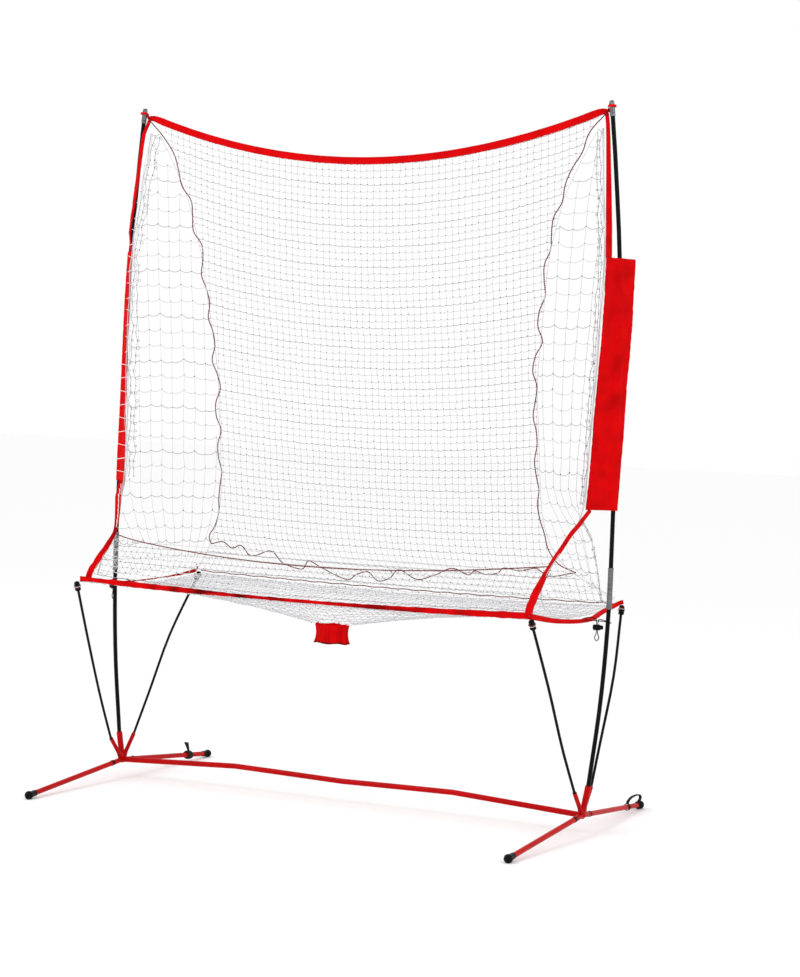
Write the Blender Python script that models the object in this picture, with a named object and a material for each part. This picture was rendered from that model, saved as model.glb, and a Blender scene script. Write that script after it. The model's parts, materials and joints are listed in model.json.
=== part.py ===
"""Pitching target net.

Two bowed poles stand on a low tube stand and hold a tall back net with two side nets.
Four thin rods spread a shallow catch tray in front of and behind the poles, and the
balls roll down the tray into a fabric chute.  X is to the right, Y to the back, Z up,
and the origin is on the floor, midway between the feet.  Sizes are in metres.
"""
import math

import bmesh
import bpy
from mathutils import Matrix, Vector

GAP = 0.0003

# Overall size: 6.6 ft high, 5.25 ft across the bowed poles, 3.38 ft over the feet.
TOP_HEIGHT = 2.0117
POLE_BULGE_X = 0.7940
FOOT_REACH = 0.5026

# Stand: one welded hub on each side, legs fore and aft, a bar between the hubs.
HUB = Vector((0.744, 0.0, 0.0525))
HUB_BALL_RADIUS = 0.0105
FOOT_X = 0.736
FOOT_Z = 0.0112
FOOT_BALL_RADIUS = 0.0125
FOOT_SLEEVE_RADIUS = 0.009
FOOT_SLEEVE_LENGTH = 0.031
FOOT_BORE_DEPTH = 0.012
LEG_RADIUS = 0.0075
LEG_BORE = 0.0059
STUB_LENGTH = 0.052
SPIGOT_RADIUS = 0.0056
SPIGOT_BORE = 0.0046
SPIGOT_END = 0.106
COLLAR_RADIUS = 0.0083
COLLAR_LENGTH = 0.0100
NOTCH_LENGTH = 0.0076
NOTCH_WIDTH = 0.0048
BUTTON_PLACE = 0.0570
BUTTON_RADIUS = 0.0019
BUTTON_TOP = 0.0096
BUTTON_LEAF = (0.016, 0.0038, 0.0008)
BUTTON_LEAF_HEIGHT = 0.0032
CROSSBAR_RADIUS = 0.0080
CROSSBAR_WALL = 0.0015
CROSSBAR_SEAM_X = 0.620
CROSSBAR_SPIGOT = 0.0063
CROSSBAR_SPIGOT_LENGTH = 0.040
CROSSBAR_BEND = (0.353, 0.0725)
CROSSBAR_MIDDLE_Z = 0.0660

# Sockets on the hub: where each one ends, and its outside radius.
POLE_SOCKET_TOP = Vector((0.758, 0.0, 0.135))
POLE_SOCKET_RADIUS = 0.0088
POLE_SOCKET_BORE = 0.0065
POLE_SOCKET_FLOOR = 0.016
ROD_SOCKET_TOP = {"front": Vector((0.744, -0.067, 0.123)), "rear": Vector((0.744, 0.060, 0.124))}
ROD_SOCKET_RADIUS = 0.0062
ROD_SOCKET_DEPTH = 0.034

# Poles: centreline points (x, z) of the right one, bowed outward by the net's pull.
POLE_RADIUS = 0.0062
POLE_BOW = ((0.758, 0.135), (0.7822, 0.37), (POLE_BULGE_X, 0.62), (POLE_BULGE_X, 0.85),
            (0.7905, 1.14), (0.7805, 1.585), (0.7650, 1.77), (0.7450, 1.972), (0.7405, 2.009))
POLE_LEAN_START = 1.2
POLE_LEAN = 0.015
FERRULE = (0.626, 0.739)
FERRULE_RADIUS = 0.0076
FERRULE_RING_RADIUS = 0.0083
FERRULE_RING_LENGTH = 0.004
POLE_JOINT_Z = 0.682
TIP_TUBE = (1.968, 2.006)
TIP_RADIUS = 0.0076
TIP_CAP_RADIUS = 0.0056

# Rods: two bow points of each right-hand rod, and the tray corner where its cap ends.
ROD_RADIUS = 0.0040
ROD_BOW = {"front": ((0.735, -0.141, 0.24), (0.723, -0.242, 0.425)),
           "rear": ((0.7395, 0.130, 0.24), (0.733, 0.232, 0.415))}
TRAY_CORNER = {"front": Vector((0.706, -0.345, 0.611)), "rear": Vector((0.705, 0.353, 0.607))}
ROD_CAP_LENGTH = 0.026
ROD_CAP_RADIUS = 0.0080
ROD_CAP_RIM = 0.0088
ROD_CAP_BORE_DEPTH = 0.020

# Fabric: straps, bindings and the wing panels that sleeve the poles.
STRAP_WIDTH = 0.022
STRAP_THICKNESS = 0.003
TOP_STRAP_END_X = 0.729
TOP_STRAP_MIDDLE_Z = 1.852
TOP_STRAP_RISE = 0.137
TOP_STRAP_Y = -0.010
BINDING_WIDTH = 0.015
PANEL_TOP = 1.585
PANEL_BOTTOM = 0.895
PANEL_TURN = (math.radians(33), math.radians(45))
PANEL_INNER = (0.045, 0.080)
PANEL_OUTER = (0.055, 0.012)
PANEL_HALF_THICKNESS = 0.0085
PANEL_EDGE_HALF_THICKNESS = 0.0020
PANEL_BORE = 0.0070
FRONT_STRAP = ((0.7398, -0.0535, 0.8845), (0.715, -0.135, 0.815), (0.700, -0.212, 0.748),
               (0.700, -0.278, 0.700), (0.700, -0.326, 0.662), (0.700, -0.338, 0.642))
FRONT_LIP_Y = -0.340
FRONT_LIP_Z = (0.622, 0.610)
FRONT_LIP_HALF_LENGTH = 0.695
SIDE_BAND = ((0.7000, -0.3285, 0.6190), (0.705, -0.140, 0.595), (0.722, 0.030, 0.588),
             (0.703, 0.207, 0.600), (0.701, 0.330, 0.614))

# Nets: thin slabs where the knotted mesh hangs.  Each side net runs from a front edge
# on the binding and the front strap to a rear edge that it shares with the back net.
# Below the wing panel it hangs in a fold, which stands further out than both edges.
NET_THICKNESS = 0.0035
NET_SEAM = 0.004
SIDE_NET_FRONT = ((0.719, -0.010, 1.940), (0.7345, -0.0255, 1.770), (0.7536, -0.0412, 1.585),
                  (0.7462, -0.0517, 1.240), (0.7322, -0.0578, 0.897), (0.7200, -0.0942, 0.8287),
                  (0.7030, -0.1830, 0.7510), (0.6990, -0.2400, 0.7045), (0.6990, -0.3085, 0.6540),
                  (0.6990, -0.3240, 0.6340))
SIDE_NET_REAR = ((0.692, 0.003, 1.935), (0.602, 0.014, 1.755), (0.556, 0.033, 1.585),
                 (0.515, 0.088, 1.240), (0.520, 0.150, 0.880), (0.530, 0.160, 0.820),
                 (0.548, 0.175, 0.765), (0.585, 0.200, 0.705), (0.650, 0.290, 0.650),
                 (0.694, 0.335, 0.627))
SIDE_NET_FOLD = ((0.7340, -0.0150, 0.8440), (0.7310, 0.0300, 0.7780), (0.7270, 0.0750, 0.7200),
                 (0.7200, 0.1200, 0.6650), (0.7120, 0.1600, 0.6360))
SIDE_NET_DROP = 0.014
BACK_NET_SAG = 0.121
BACK_NET_LOW_SAG = 0.012
BACK_NET_BILLOW = 0.012
GUARD_HALF_LENGTH = 0.686
GUARD_CORD_END = Vector((0.0, -0.205, 0.744))
GUARD_CORD_MIDDLE = Vector((0.0, -0.270, 0.700))
TRAY_HALF = Vector((0.694, 0.332))
TRAY_REAR_Y = 0.340
CHUTE_CENTRE = Vector((0.0, -0.100))
CHUTE_HALF = Vector((0.050, 0.030))
CHUTE_TOP = 0.523
CHUTE_BOTTOM = 0.475
CHUTE_FLARE = 1.08
TRAY_STEEPNESS = 2.0

# Elastic cord and its spring lock, beside each pole under the tray's side band.
CORD_RADIUS = 0.0013
LOCK_CENTRE = Vector((0.776, -0.036, 0.577))
LOCK_TURN = math.radians(27)
LOCK_BODY = (-0.012, 0.009)
LOCK_RADIUS = 0.0080
LOCK_CAVITY = -0.0100
LOCK_CAVITY_RADIUS = 0.0060
LOCK_BUTTON = (-0.0056, 0.0165)
LOCK_BUTTON_RADIUS = 0.0057
LOCK_TRAVEL = 0.004
STRAND_APART = 0.0040
STRAND_SLOT = (0.0080, 0.0038)

# Webbing on each rear leg, as places along the leg and heights over its axis.  The right one
# is strapped over the foot cap; the left one is loose, with a knotted tail on its ring.
WEBBING_WIDTH = 0.009
WEBBING_THICKNESS = 0.0018
WEBBING_RING_PLACE = 0.385
WEBBING_CAP_PLACE = 0.4885
WEBBING_CLEARANCE = 0.0005
WEBBING_ARCH = ((0.385, 0.0095), (0.391, 0.0160), (0.408, 0.0235), (0.436, 0.0285), (0.468, 0.0305),
                (0.492, 0.0290), (0.5025, 0.0215), (0.4975, 0.0150), (0.4885, 0.0108))
WEBBING_TAIL = ((0.385, 0.0095), (0.381, 0.0180), (0.374, 0.0290), (0.367, 0.0400))
WEBBING_TAIL_WIDTH = (0.006, 0.016)

ROUND_SIDES = 12
SIDES = (("right", 1), ("left", -1))
ENDS = (("front", -1), ("rear", 1))
UP = Vector((0.0, 0.0, 1.0))


# ---------------------------------------------------------------- materials

def material(name, colour, roughness, metallic=0.0):
    """One Principled material with a flat colour."""
    made = bpy.data.materials.new(name)
    made.use_nodes = True
    shader = made.node_tree.nodes["Principled BSDF"]
    shader.inputs["Base Color"].default_value = (*colour, 1.0)
    shader.inputs["Roughness"].default_value = roughness
    shader.inputs["Metallic"].default_value = metallic
    return made


def make_materials():
    """The finishes of the stand, the fabric and the fittings, by slot name."""
    return {
        "red_paint": material("red_paint", (0.48, 0.008, 0.012), 0.35),
        "black_fibreglass": material("black_fibreglass", (0.010, 0.010, 0.011), 0.30),
        "steel": material("steel", (0.50, 0.50, 0.52), 0.32, 1.0),
        "black_plastic": material("black_plastic", (0.012, 0.012, 0.012), 0.45),
        "red_fabric": material("red_fabric", (0.75, 0.010, 0.018), 0.75),
        "white_net": material("white_net", (0.80, 0.80, 0.80), 0.80),
        "black_webbing": material("black_webbing", (0.015, 0.015, 0.015), 0.80),
        "black_elastic": material("black_elastic", (0.015, 0.014, 0.015), 0.70),
    }


# ---------------------------------------------------------------- mesh tools

def clear_scene():
    """Remove everything that the scene starts with."""
    for thing in list(bpy.data.objects):
        bpy.data.objects.remove(thing, do_unlink=True)


def mesh_object(name, verts, faces, finish=None, origin=None):
    """A closed mesh with its faces turned outward; its origin goes on a joint's axis if given."""
    mesh = bpy.data.meshes.new(name)
    place = Vector(origin) if origin is not None else Vector()
    mesh.from_pydata([tuple(Vector(v) - place) for v in verts], [], faces)
    work = bmesh.new()
    work.from_mesh(mesh)
    bmesh.ops.recalc_face_normals(work, faces=work.faces[:])
    work.to_mesh(mesh)
    work.free()
    mesh.shade_smooth()
    mesh.set_sharp_from_angle(angle=math.radians(35))
    thing = bpy.data.objects.new(name, mesh)
    thing.location = place
    bpy.context.scene.collection.objects.link(thing)
    if finish is not None:
        mesh.materials.append(finish)
    bpy.context.view_layer.update()
    return thing


def mirrored(points, side):
    """The same points on the right (1) or on the left (-1)."""
    return [Vector((p[0] * side, p[1], p[2])) for p in points]


def curve_through(knots, spacing):
    """Points about one spacing apart on a smooth curve through the knots."""
    knots = [Vector(k) for k in knots]
    spans = [(b - a).length for a, b in zip(knots, knots[1:])]
    chords = [(b - a) / h for a, b, h in zip(knots, knots[1:], spans)]
    slopes = [chords[0]]
    for i in range(1, len(knots) - 1):
        before, after = spans[i - 1], spans[i]
        slopes.append((chords[i - 1] * after + chords[i] * before) / (before + after))
    slopes.append(chords[-1])
    path = []
    for i, h in enumerate(spans):
        steps = max(1, round(h / spacing))
        for j in range(steps):
            t = j / steps
            path.append((2 * t**3 - 3 * t**2 + 1) * knots[i] + (t**3 - 2 * t**2 + t) * h * slopes[i]
                        + (3 * t**2 - 2 * t**3) * knots[i + 1] + (t**3 - t**2) * h * slopes[i + 1])
    path.append(knots[-1])
    return path


def across(path, first=UP):
    """Two crosswise unit vectors at each point of a path, carried along without twist."""
    pairs = []
    previous = Vector(first)
    for i, _ in enumerate(path):
        ahead = path[min(i + 1, len(path) - 1)] - path[max(i - 1, 0)]
        ahead.normalize()
        previous = (previous - ahead * previous.dot(ahead)).normalized()
        pairs.append((previous.copy(), ahead.cross(previous)))
    return pairs


def ring_of(centre, pair, radius, sides):
    """The corners of one round section."""
    turns = [2 * math.pi * k / sides for k in range(sides)]
    return [centre + pair[0] * (radius * math.cos(a)) + pair[1] * (radius * math.sin(a)) for a in turns]


def skin(name, rings, finish=None, closed=False, origin=None):
    """Join rings of equal count into one body, capped at both ends unless the rings close."""
    count = len(rings[0])
    verts = [v for ring in rings for v in ring]
    faces = []
    for i in range(len(rings) if closed else len(rings) - 1):
        low, high = i * count, (i + 1) % len(rings) * count
        for k in range(count):
            after = (k + 1) % count
            faces.append((low + k, low + after, high + after, high + k))
    if not closed:
        faces.append(tuple(range(count)))
        faces.append(tuple(range((len(rings) - 1) * count, len(rings) * count)))
    return mesh_object(name, verts, faces, finish, origin)


def lathe(name, start, towards, profile, finish=None, closed=False, sides=ROUND_SIDES, origin=None):
    """Turn (distance, radius) points round the axis that leaves start."""
    axis = Vector(towards).normalized()
    first = UP if abs(axis.z) < 0.9 else Vector((0.0, -1.0, 0.0))
    pair = across([Vector(), axis], first)[0]
    rings = [ring_of(Vector(start) + axis * s, pair, r, sides) for s, r in profile]
    return skin(name, rings, finish, closed, origin)


def rod_along(name, path, radius, finish, sides=ROUND_SIDES, origin=None):
    """A solid round rod along a path."""
    rings = [ring_of(p, pair, radius, sides) for p, pair in zip(path, across(path, Vector((0, 1, 0))))]
    return skin(name, rings, finish, origin=origin)


def slab(name, grid, thickness, finish, wrap=False, origin=None):
    """A thin closed sheet over a grid of points, half its thickness to each side.

    Both sides are split along the same diagonals, so that a twisted sheet keeps its thickness.
    wrap joins the last point of every row to its first, for a sleeve or a ring.
    """
    rows, count = len(grid), len(grid[0])
    near, far = [], []
    for i in range(rows):
        for j in range(count):
            left, right = (j - 1, (j + 1) % count) if wrap else (max(j - 1, 0), min(j + 1, count - 1))
            along = grid[i][right] - grid[i][left]
            down = grid[min(i + 1, rows - 1)][j] - grid[max(i - 1, 0)][j]
            normal = along.cross(down).normalized() * (thickness / 2)
            near.append(grid[i][j] + normal)
            far.append(grid[i][j] - normal)
    size = rows * count
    faces = []
    for i in range(rows - 1):
        for j in range(count if wrap else count - 1):
            a, b = i * count + j, i * count + (j + 1) % count
            c, d = b + count, a + count
            for corners in ((a, b, c), (a, c, d)):
                faces.append(corners)
                faces.append(tuple(size + k for k in reversed(corners)))
    edges = [(j, (j + 1) % count) for j in range(count if wrap else count - 1)]
    last = size - count
    for a, b in edges:
        faces.append((b, a, size + a, size + b))
        faces.append((last + a, last + b, size + last + b, size + last + a))
    if not wrap:
        for i in range(rows - 1):
            a, b = i * count, (i + 1) * count
            faces.append((a, b, size + b, size + a))
            a, b = a + count - 1, b + count - 1
            faces.append((b, a, size + a, size + b))
    return mesh_object(name, near + far, faces, finish, origin)


def ribbon(name, path, crosswise, width, thickness, finish):
    """A flat band along a path; crosswise gives the direction of its width at each point."""
    grid = [[p - c * (width / 2), p + c * (width / 2)] for p, c in zip(path, crosswise)]
    return slab(name, grid, thickness, finish)


def box(name, centre, axes, half):
    """A box from three directions and its half lengths along them."""
    signs = [(i, j, k) for i in (-1, 1) for j in (-1, 1) for k in (-1, 1)]
    verts = [centre + axes[0] * (i * half[0]) + axes[1] * (j * half[1]) + axes[2] * (k * half[2])
             for i, j, k in signs]
    faces = [(0, 1, 3, 2), (4, 6, 7, 5), (0, 4, 5, 1), (2, 3, 7, 6), (0, 2, 6, 4), (1, 5, 7, 3)]
    return mesh_object(name, verts, faces)


def combine(target, tools, operation, solver="EXACT"):
    """Apply a Boolean of each tool to the target, then remove the tools."""
    for tool in tools:
        step = target.modifiers.new(operation.lower(), "BOOLEAN")
        step.operation = operation
        step.solver = solver
        step.object = tool
    bpy.context.view_layer.update()
    evaluated = target.evaluated_get(bpy.context.evaluated_depsgraph_get())
    result = bpy.data.meshes.new_from_object(evaluated)
    target.modifiers.clear()
    target.data = result
    result.shade_smooth()
    result.set_sharp_from_angle(angle=math.radians(35))
    for tool in tools:
        bpy.data.objects.remove(tool, do_unlink=True)


# ---------------------------------------------------------------- stand

def leg_line(side, end):
    """Where a leg's axis starts on the hub, its direction, and its length to the foot ball."""
    start = Vector((HUB.x * side, 0.0, HUB.z))
    foot = Vector((FOOT_X * side, FOOT_REACH * end, FOOT_Z))
    return start, (foot - start).normalized(), (foot - start).length


def hub(name, side, finish):
    """The welded hub: leg stubs with spigots, crossbar stub, pole socket and rod sockets."""
    centre = Vector((HUB.x * side, 0.0, HUB.z))
    flip = Matrix.Diagonal((side, 1.0, 1.0))
    ball = [(HUB_BALL_RADIUS * math.sin(a), HUB_BALL_RADIUS * math.cos(a))
            for a in (math.radians(d) for d in range(-80, 81, 20))]
    body = lathe(name, centre, UP, ball, finish)
    solids, bores = [], []
    for end, sign in ENDS:
        start, ahead, _ = leg_line(side, sign)
        stub = ((-0.005, LEG_RADIUS), (STUB_LENGTH, LEG_RADIUS), (STUB_LENGTH + 0.0001, SPIGOT_RADIUS),
                (SPIGOT_END - 0.001, SPIGOT_RADIUS), (SPIGOT_END, SPIGOT_RADIUS - 0.0005))
        solids.append(lathe("stub", start, ahead, stub))
        bores.append(lathe("spigot_bore", start, ahead, ((0.040, SPIGOT_BORE), (0.110, SPIGOT_BORE))))
        lift = across([Vector(), ahead])[0][0]
        hole = start + ahead * BUTTON_PLACE
        bores.append(lathe("button_hole", hole, lift, ((0.003, 0.0022), (0.009, 0.0022))))
        socket = flip @ ROD_SOCKET_TOP[end] - centre
        flare = ((0.002, 0.0098), (0.016, 0.0090), (0.030, ROD_SOCKET_RADIUS),
                 (socket.length, ROD_SOCKET_RADIUS))
        solids.append(lathe("rod_socket", centre, socket, flare))
        depth = ((socket.length - ROD_SOCKET_DEPTH, ROD_RADIUS + GAP),
                 (socket.length + 0.01, ROD_RADIUS + GAP))
        bores.append(lathe("rod_bore", centre, socket, depth))
    up = flip @ POLE_SOCKET_TOP - centre
    tall = ((-0.004, POLE_SOCKET_RADIUS), (up.length, POLE_SOCKET_RADIUS))
    solids.append(lathe("pole_socket", centre, up, tall))
    deep = ((POLE_SOCKET_FLOOR, POLE_SOCKET_BORE), (up.length + 0.01, POLE_SOCKET_BORE))
    bores.append(lathe("pole_bore", centre, up, deep, sides=14))
    bar = flip @ Vector((CROSSBAR_BEND[0], 0.0, CROSSBAR_BEND[1])) - centre
    reach = (HUB.x - CROSSBAR_SEAM_X) / abs(bar.normalized().x)
    solids.append(lathe("bar_stub", centre, bar, ((-0.003, 0.0082), (reach, 0.0082))))
    seat = ((reach - CROSSBAR_SPIGOT_LENGTH - 0.003, CROSSBAR_SPIGOT + GAP),
            (reach + 0.01, CROSSBAR_SPIGOT + GAP))
    bores.append(lathe("bar_bore", centre, bar, seat))
    combine(body, solids, "UNION", solver="MANIFOLD")
    combine(body, bores, "DIFFERENCE", solver="MANIFOLD")
    return body


def leg(name, side, end, finish):
    """The tube that slides over the hub's spigot and ends inside its foot cap."""
    start, ahead, length = leg_line(side, end)
    first = STUB_LENGTH + COLLAR_LENGTH + 2 * GAP
    last = length - FOOT_BORE_DEPTH - GAP
    profile = ((first, LEG_BORE), (first, LEG_RADIUS), (last, LEG_RADIUS), (last, LEG_BORE))
    return lathe(name, start, ahead, profile, finish, closed=True, origin=start + ahead * first)


def leg_collar(name, side, end, finish):
    """The bush at the leg's mouth, with the notch that its push button stands in."""
    start, ahead, _ = leg_line(side, end)
    low, high = STUB_LENGTH + GAP, STUB_LENGTH + GAP + COLLAR_LENGTH
    profile = ((low, LEG_BORE), (low, COLLAR_RADIUS), (high, COLLAR_RADIUS), (high, LEG_BORE))
    collar = lathe(name, start, ahead, profile, finish, closed=True, origin=start + ahead * low)
    lift, aside = across([Vector(), ahead])[0]
    middle = start + ahead * (low + NOTCH_LENGTH - 0.01) + lift * 0.008
    notch = box("notch", middle, (ahead, lift, aside), (0.010, 0.006, NOTCH_WIDTH / 2))
    combine(collar, [notch], "DIFFERENCE")
    return collar


def push_button(name, side, end, finish):
    """A round pin on a short leaf spring, inside the spigot; it is pressed towards the axis."""
    start, ahead, _ = leg_line(side, end)
    lift, aside = across([Vector(), ahead])[0]
    seat = start + ahead * BUTTON_PLACE
    profile = ((BUTTON_LEAF_HEIGHT, BUTTON_RADIUS), (BUTTON_TOP - 0.0009, BUTTON_RADIUS),
               (BUTTON_TOP - 0.0002, 0.0013), (BUTTON_TOP, 0.0006))
    button = lathe(name, seat, lift, profile, finish, origin=seat)
    half = [size / 2 for size in BUTTON_LEAF]
    leaf = box("leaf", seat + lift * BUTTON_LEAF_HEIGHT + ahead * 0.004, (ahead, aside, lift), half)
    combine(button, [leaf], "UNION")
    return button


def foot_cap(name, side, end, finish):
    """A ball foot on a sleeve, with a small flat that rests on the floor."""
    start, ahead, length = leg_line(side, end)
    tip = math.asin(FOOT_SLEEVE_RADIUS / FOOT_BALL_RADIUS)
    turns = [math.pi - tip - (math.pi - tip - math.radians(6)) * k / 7 for k in range(8)]
    ball = [(length + FOOT_BALL_RADIUS * math.cos(a), FOOT_BALL_RADIUS * math.sin(a)) for a in turns]
    mouth = length - FOOT_SLEEVE_LENGTH
    floor = length - FOOT_BORE_DEPTH
    bore = LEG_RADIUS + GAP
    profile = [(floor, 0.002), (floor, bore), (mouth, bore), (mouth, FOOT_SLEEVE_RADIUS)] + ball
    cap = lathe(name, start, ahead, profile, finish, origin=start + ahead * mouth)
    work = bmesh.new()
    work.from_mesh(cap.data)
    everything = work.verts[:] + work.edges[:] + work.faces[:]
    ground = Vector((0.0, 0.0, -cap.location.z))
    cut = bmesh.ops.bisect_plane(work, geom=everything, plane_co=ground, plane_no=-UP, clear_outer=True)
    rim = [item for item in cut["geom_cut"] if isinstance(item, bmesh.types.BMEdge)]
    bmesh.ops.edgenet_fill(work, edges=rim)
    bmesh.ops.recalc_face_normals(work, faces=work.faces[:])
    work.to_mesh(cap.data)
    work.free()
    return cap


def crossbar(name, finish):
    """The bent tube between the hubs; each end narrows to a spigot inside the hub's stub."""
    slope = (CROSSBAR_BEND[1] - HUB.z) / (HUB.x - CROSSBAR_BEND[0])
    seam = CROSSBAR_SEAM_X - GAP
    inner = seam + CROSSBAR_SPIGOT_LENGTH

    def on_line(x):
        return Vector((x, 0.0, HUB.z + (HUB.x - x) * slope))

    half = curve_through((on_line(seam - 0.0001), on_line(0.400), (CROSSBAR_BEND[0], 0.0, CROSSBAR_BEND[1]),
                          (0.300, 0.0, CROSSBAR_BEND[1] - 0.0008), (0.0, 0.0, CROSSBAR_MIDDLE_Z)), 0.10)
    outline = [(on_line(inner), CROSSBAR_SPIGOT), (on_line(seam), CROSSBAR_SPIGOT)]
    outline += [(p, CROSSBAR_RADIUS) for p in half]
    outline += [(Vector((-p.x, p.y, p.z)), r) for p, r in reversed(outline[:-1])]
    path = [p for p, _ in outline]
    pairs = across(path)
    outer = [ring_of(p, pair, r, ROUND_SIDES) for (p, r), pair in zip(outline, pairs)]
    bore = CROSSBAR_SPIGOT - CROSSBAR_WALL
    hollow = [ring_of(p, pair, bore, ROUND_SIDES) for p, pair in zip(path, pairs)]
    return skin(name, outer + hollow[::-1], finish, closed=True)


# ---------------------------------------------------------------- poles and rods

def pole_line():
    """The right pole's centreline from its socket floor to its tip, closely spaced."""
    knots = [(x, 0.0 if z < POLE_LEAN_START else
              -POLE_LEAN * ((z - POLE_LEAN_START) / (TOP_HEIGHT - POLE_LEAN_START)) ** 2, z)
             for x, z in POLE_BOW]
    return curve_through(knots, 0.02)


def pole_point(z, line):
    """The point of the right pole's centreline at a height."""
    for low, high in zip(line, line[1:]):
        if z <= high.z:
            break
    return low + (high - low) * ((z - low.z) / (high.z - low.z))


def pole_stretch(low, high, spacing, line):
    """Centreline points between two heights."""
    steps = max(2, round((high - low) / spacing))
    return [pole_point(low + (high - low) * k / steps, line) for k in range(steps + 1)]


def sleeve_on_pole(name, side, levels, bore, finish, line):
    """A tube round the pole; levels are (height, outside radius) from bottom to top."""
    path = mirrored([pole_point(z, line) for z, _ in levels], side)
    pairs = across(path, Vector((0, 1, 0)))
    outer = [ring_of(p, pair, r, ROUND_SIDES) for p, pair, (_, r) in zip(path, pairs, levels)]
    inner = [ring_of(p, pair, bore, ROUND_SIDES) for p, pair in zip(path, pairs)]
    return skin(name, outer + inner[::-1], finish, closed=True)


def poles(side_name, side, finishes, line):
    """Lower and upper pole, the ferrule that joins them, and the tube and cap at the tip."""
    socket = (POLE_SOCKET_TOP - HUB).normalized()
    foot = HUB + socket * (POLE_SOCKET_FLOOR + GAP)
    lower = [foot, POLE_SOCKET_TOP + socket * 0.002] + pole_stretch(0.17, FERRULE[0], 0.06, line)
    lower.append(pole_point(POLE_JOINT_Z - GAP, line))
    rod_along(f"pole_lower_{side_name}", mirrored(lower, side), POLE_RADIUS,
              finishes["black_fibreglass"])
    upper = [pole_point(POLE_JOINT_Z, line)] + pole_stretch(FERRULE[1], TIP_TUBE[0], 0.10, line)
    upper.append(pole_point(TIP_TUBE[1] - 0.012, line))
    rod_along(f"pole_upper_{side_name}", mirrored(upper, side), POLE_RADIUS,
              finishes["black_fibreglass"])
    low, high = FERRULE
    ring = FERRULE_RING_LENGTH
    levels = ((low, FERRULE_RING_RADIUS), (low + ring, FERRULE_RING_RADIUS), (low + ring, FERRULE_RADIUS),
              (POLE_JOINT_Z, FERRULE_RADIUS), (high - ring, FERRULE_RADIUS),
              (high - ring, FERRULE_RING_RADIUS), (high, FERRULE_RING_RADIUS))
    sleeve_on_pole(f"pole_ferrule_{side_name}", side, levels, POLE_RADIUS + GAP, finishes["steel"], line)
    tip_cap(f"pole_tip_{side_name}", side, finishes["steel"], line)


def tip_cap(name, side, finish, line):
    """The metal tube over the pole's tip, closed by a small plug at the top."""
    low, high = TIP_TUBE
    bottom, top = mirrored((pole_point(low, line), pole_point(high, line)), side)
    ahead = (top - bottom).normalized()
    length = (top - bottom).length
    bore = POLE_RADIUS + GAP
    plug = (TOP_HEIGHT - top.z - TIP_CAP_RADIUS * abs(ahead.x)) / ahead.z
    profile = ((length - 0.010, 0.002), (length - 0.010, bore), (0.0, bore), (0.0, TIP_RADIUS),
               (length, TIP_RADIUS), (length, TIP_CAP_RADIUS + 0.0008),
               (length + plug - 0.001, TIP_CAP_RADIUS + 0.0004), (length + plug, TIP_CAP_RADIUS))
    return lathe(name, bottom, ahead, profile, finish, sides=14)


def rods(side_name, side, finishes):
    """The four thin rods that spread the tray, and the cap on each one's upper end."""
    for end, _ in ENDS:
        socket = ROD_SOCKET_TOP[end] - HUB
        out = socket.normalized()
        foot = HUB + out * (socket.length - ROD_SOCKET_DEPTH + GAP)
        mouth = ROD_SOCKET_TOP[end] + out * 0.003
        corner = TRAY_CORNER[end]
        bow = [Vector(p) for p in ROD_BOW[end]]
        ahead = (corner - bow[-1]).normalized()
        cap_mouth = corner - ahead * (ROD_CAP_LENGTH + 0.002)
        rod_top = corner - ahead * (ROD_CAP_LENGTH - ROD_CAP_BORE_DEPTH + GAP)
        path = [foot] + curve_through([mouth] + bow + [cap_mouth], 0.055) + [rod_top]
        rod_along(f"rod_{end}_{side_name}", mirrored(path, side), ROD_RADIUS,
                  finishes["black_fibreglass"], sides=10)
        base = mirrored([corner - ahead * ROD_CAP_LENGTH], side)[0]
        axis = mirrored([ahead], side)[0]
        bore = ROD_RADIUS + GAP
        profile = ((ROD_CAP_BORE_DEPTH, 0.0015), (ROD_CAP_BORE_DEPTH, bore), (0.0, bore), (0.0, ROD_CAP_RIM),
                   (0.003, ROD_CAP_RIM), (0.005, ROD_CAP_RADIUS), (ROD_CAP_LENGTH - 0.003, ROD_CAP_RADIUS),
                   (ROD_CAP_LENGTH - 0.0008, ROD_CAP_RADIUS * 0.8), (ROD_CAP_LENGTH, ROD_CAP_RADIUS * 0.45))
        lathe(f"rod_cap_{end}_{side_name}", base, axis, profile, finishes["black_plastic"])


# ---------------------------------------------------------------- fabric

def strap_height(x):
    """Height of the top strap's middle line: it hangs between the pole tips."""
    return TOP_STRAP_MIDDLE_Z + TOP_STRAP_RISE * (x / 0.73) ** 2


def top_strap(name, finish):
    """The band that hangs between the pole tips and carries the back net."""
    xs = [TOP_STRAP_END_X * (2 * k / 20 - 1) for k in range(21)]
    path = [Vector((x, TOP_STRAP_Y, strap_height(x))) for x in xs]
    crosswise = [pair[0] for pair in across(path)]
    return ribbon(name, path, crosswise, STRAP_WIDTH, STRAP_THICKNESS, finish)


def panel_section(z, line):
    """Pole centre, width direction, and inner and outer reach of a wing panel at a height."""
    share = (PANEL_TOP - z) / (PANEL_TOP - PANEL_BOTTOM)
    turn = PANEL_TURN[0] + (PANEL_TURN[1] - PANEL_TURN[0]) * share
    inner = PANEL_INNER[0] + (PANEL_INNER[1] - PANEL_INNER[0]) * share
    outer = PANEL_OUTER[0] + (PANEL_OUTER[1] - PANEL_OUTER[0]) * share
    return pole_point(z, line), Vector((math.sin(turn), math.cos(turn), 0.0)), inner, outer


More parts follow.
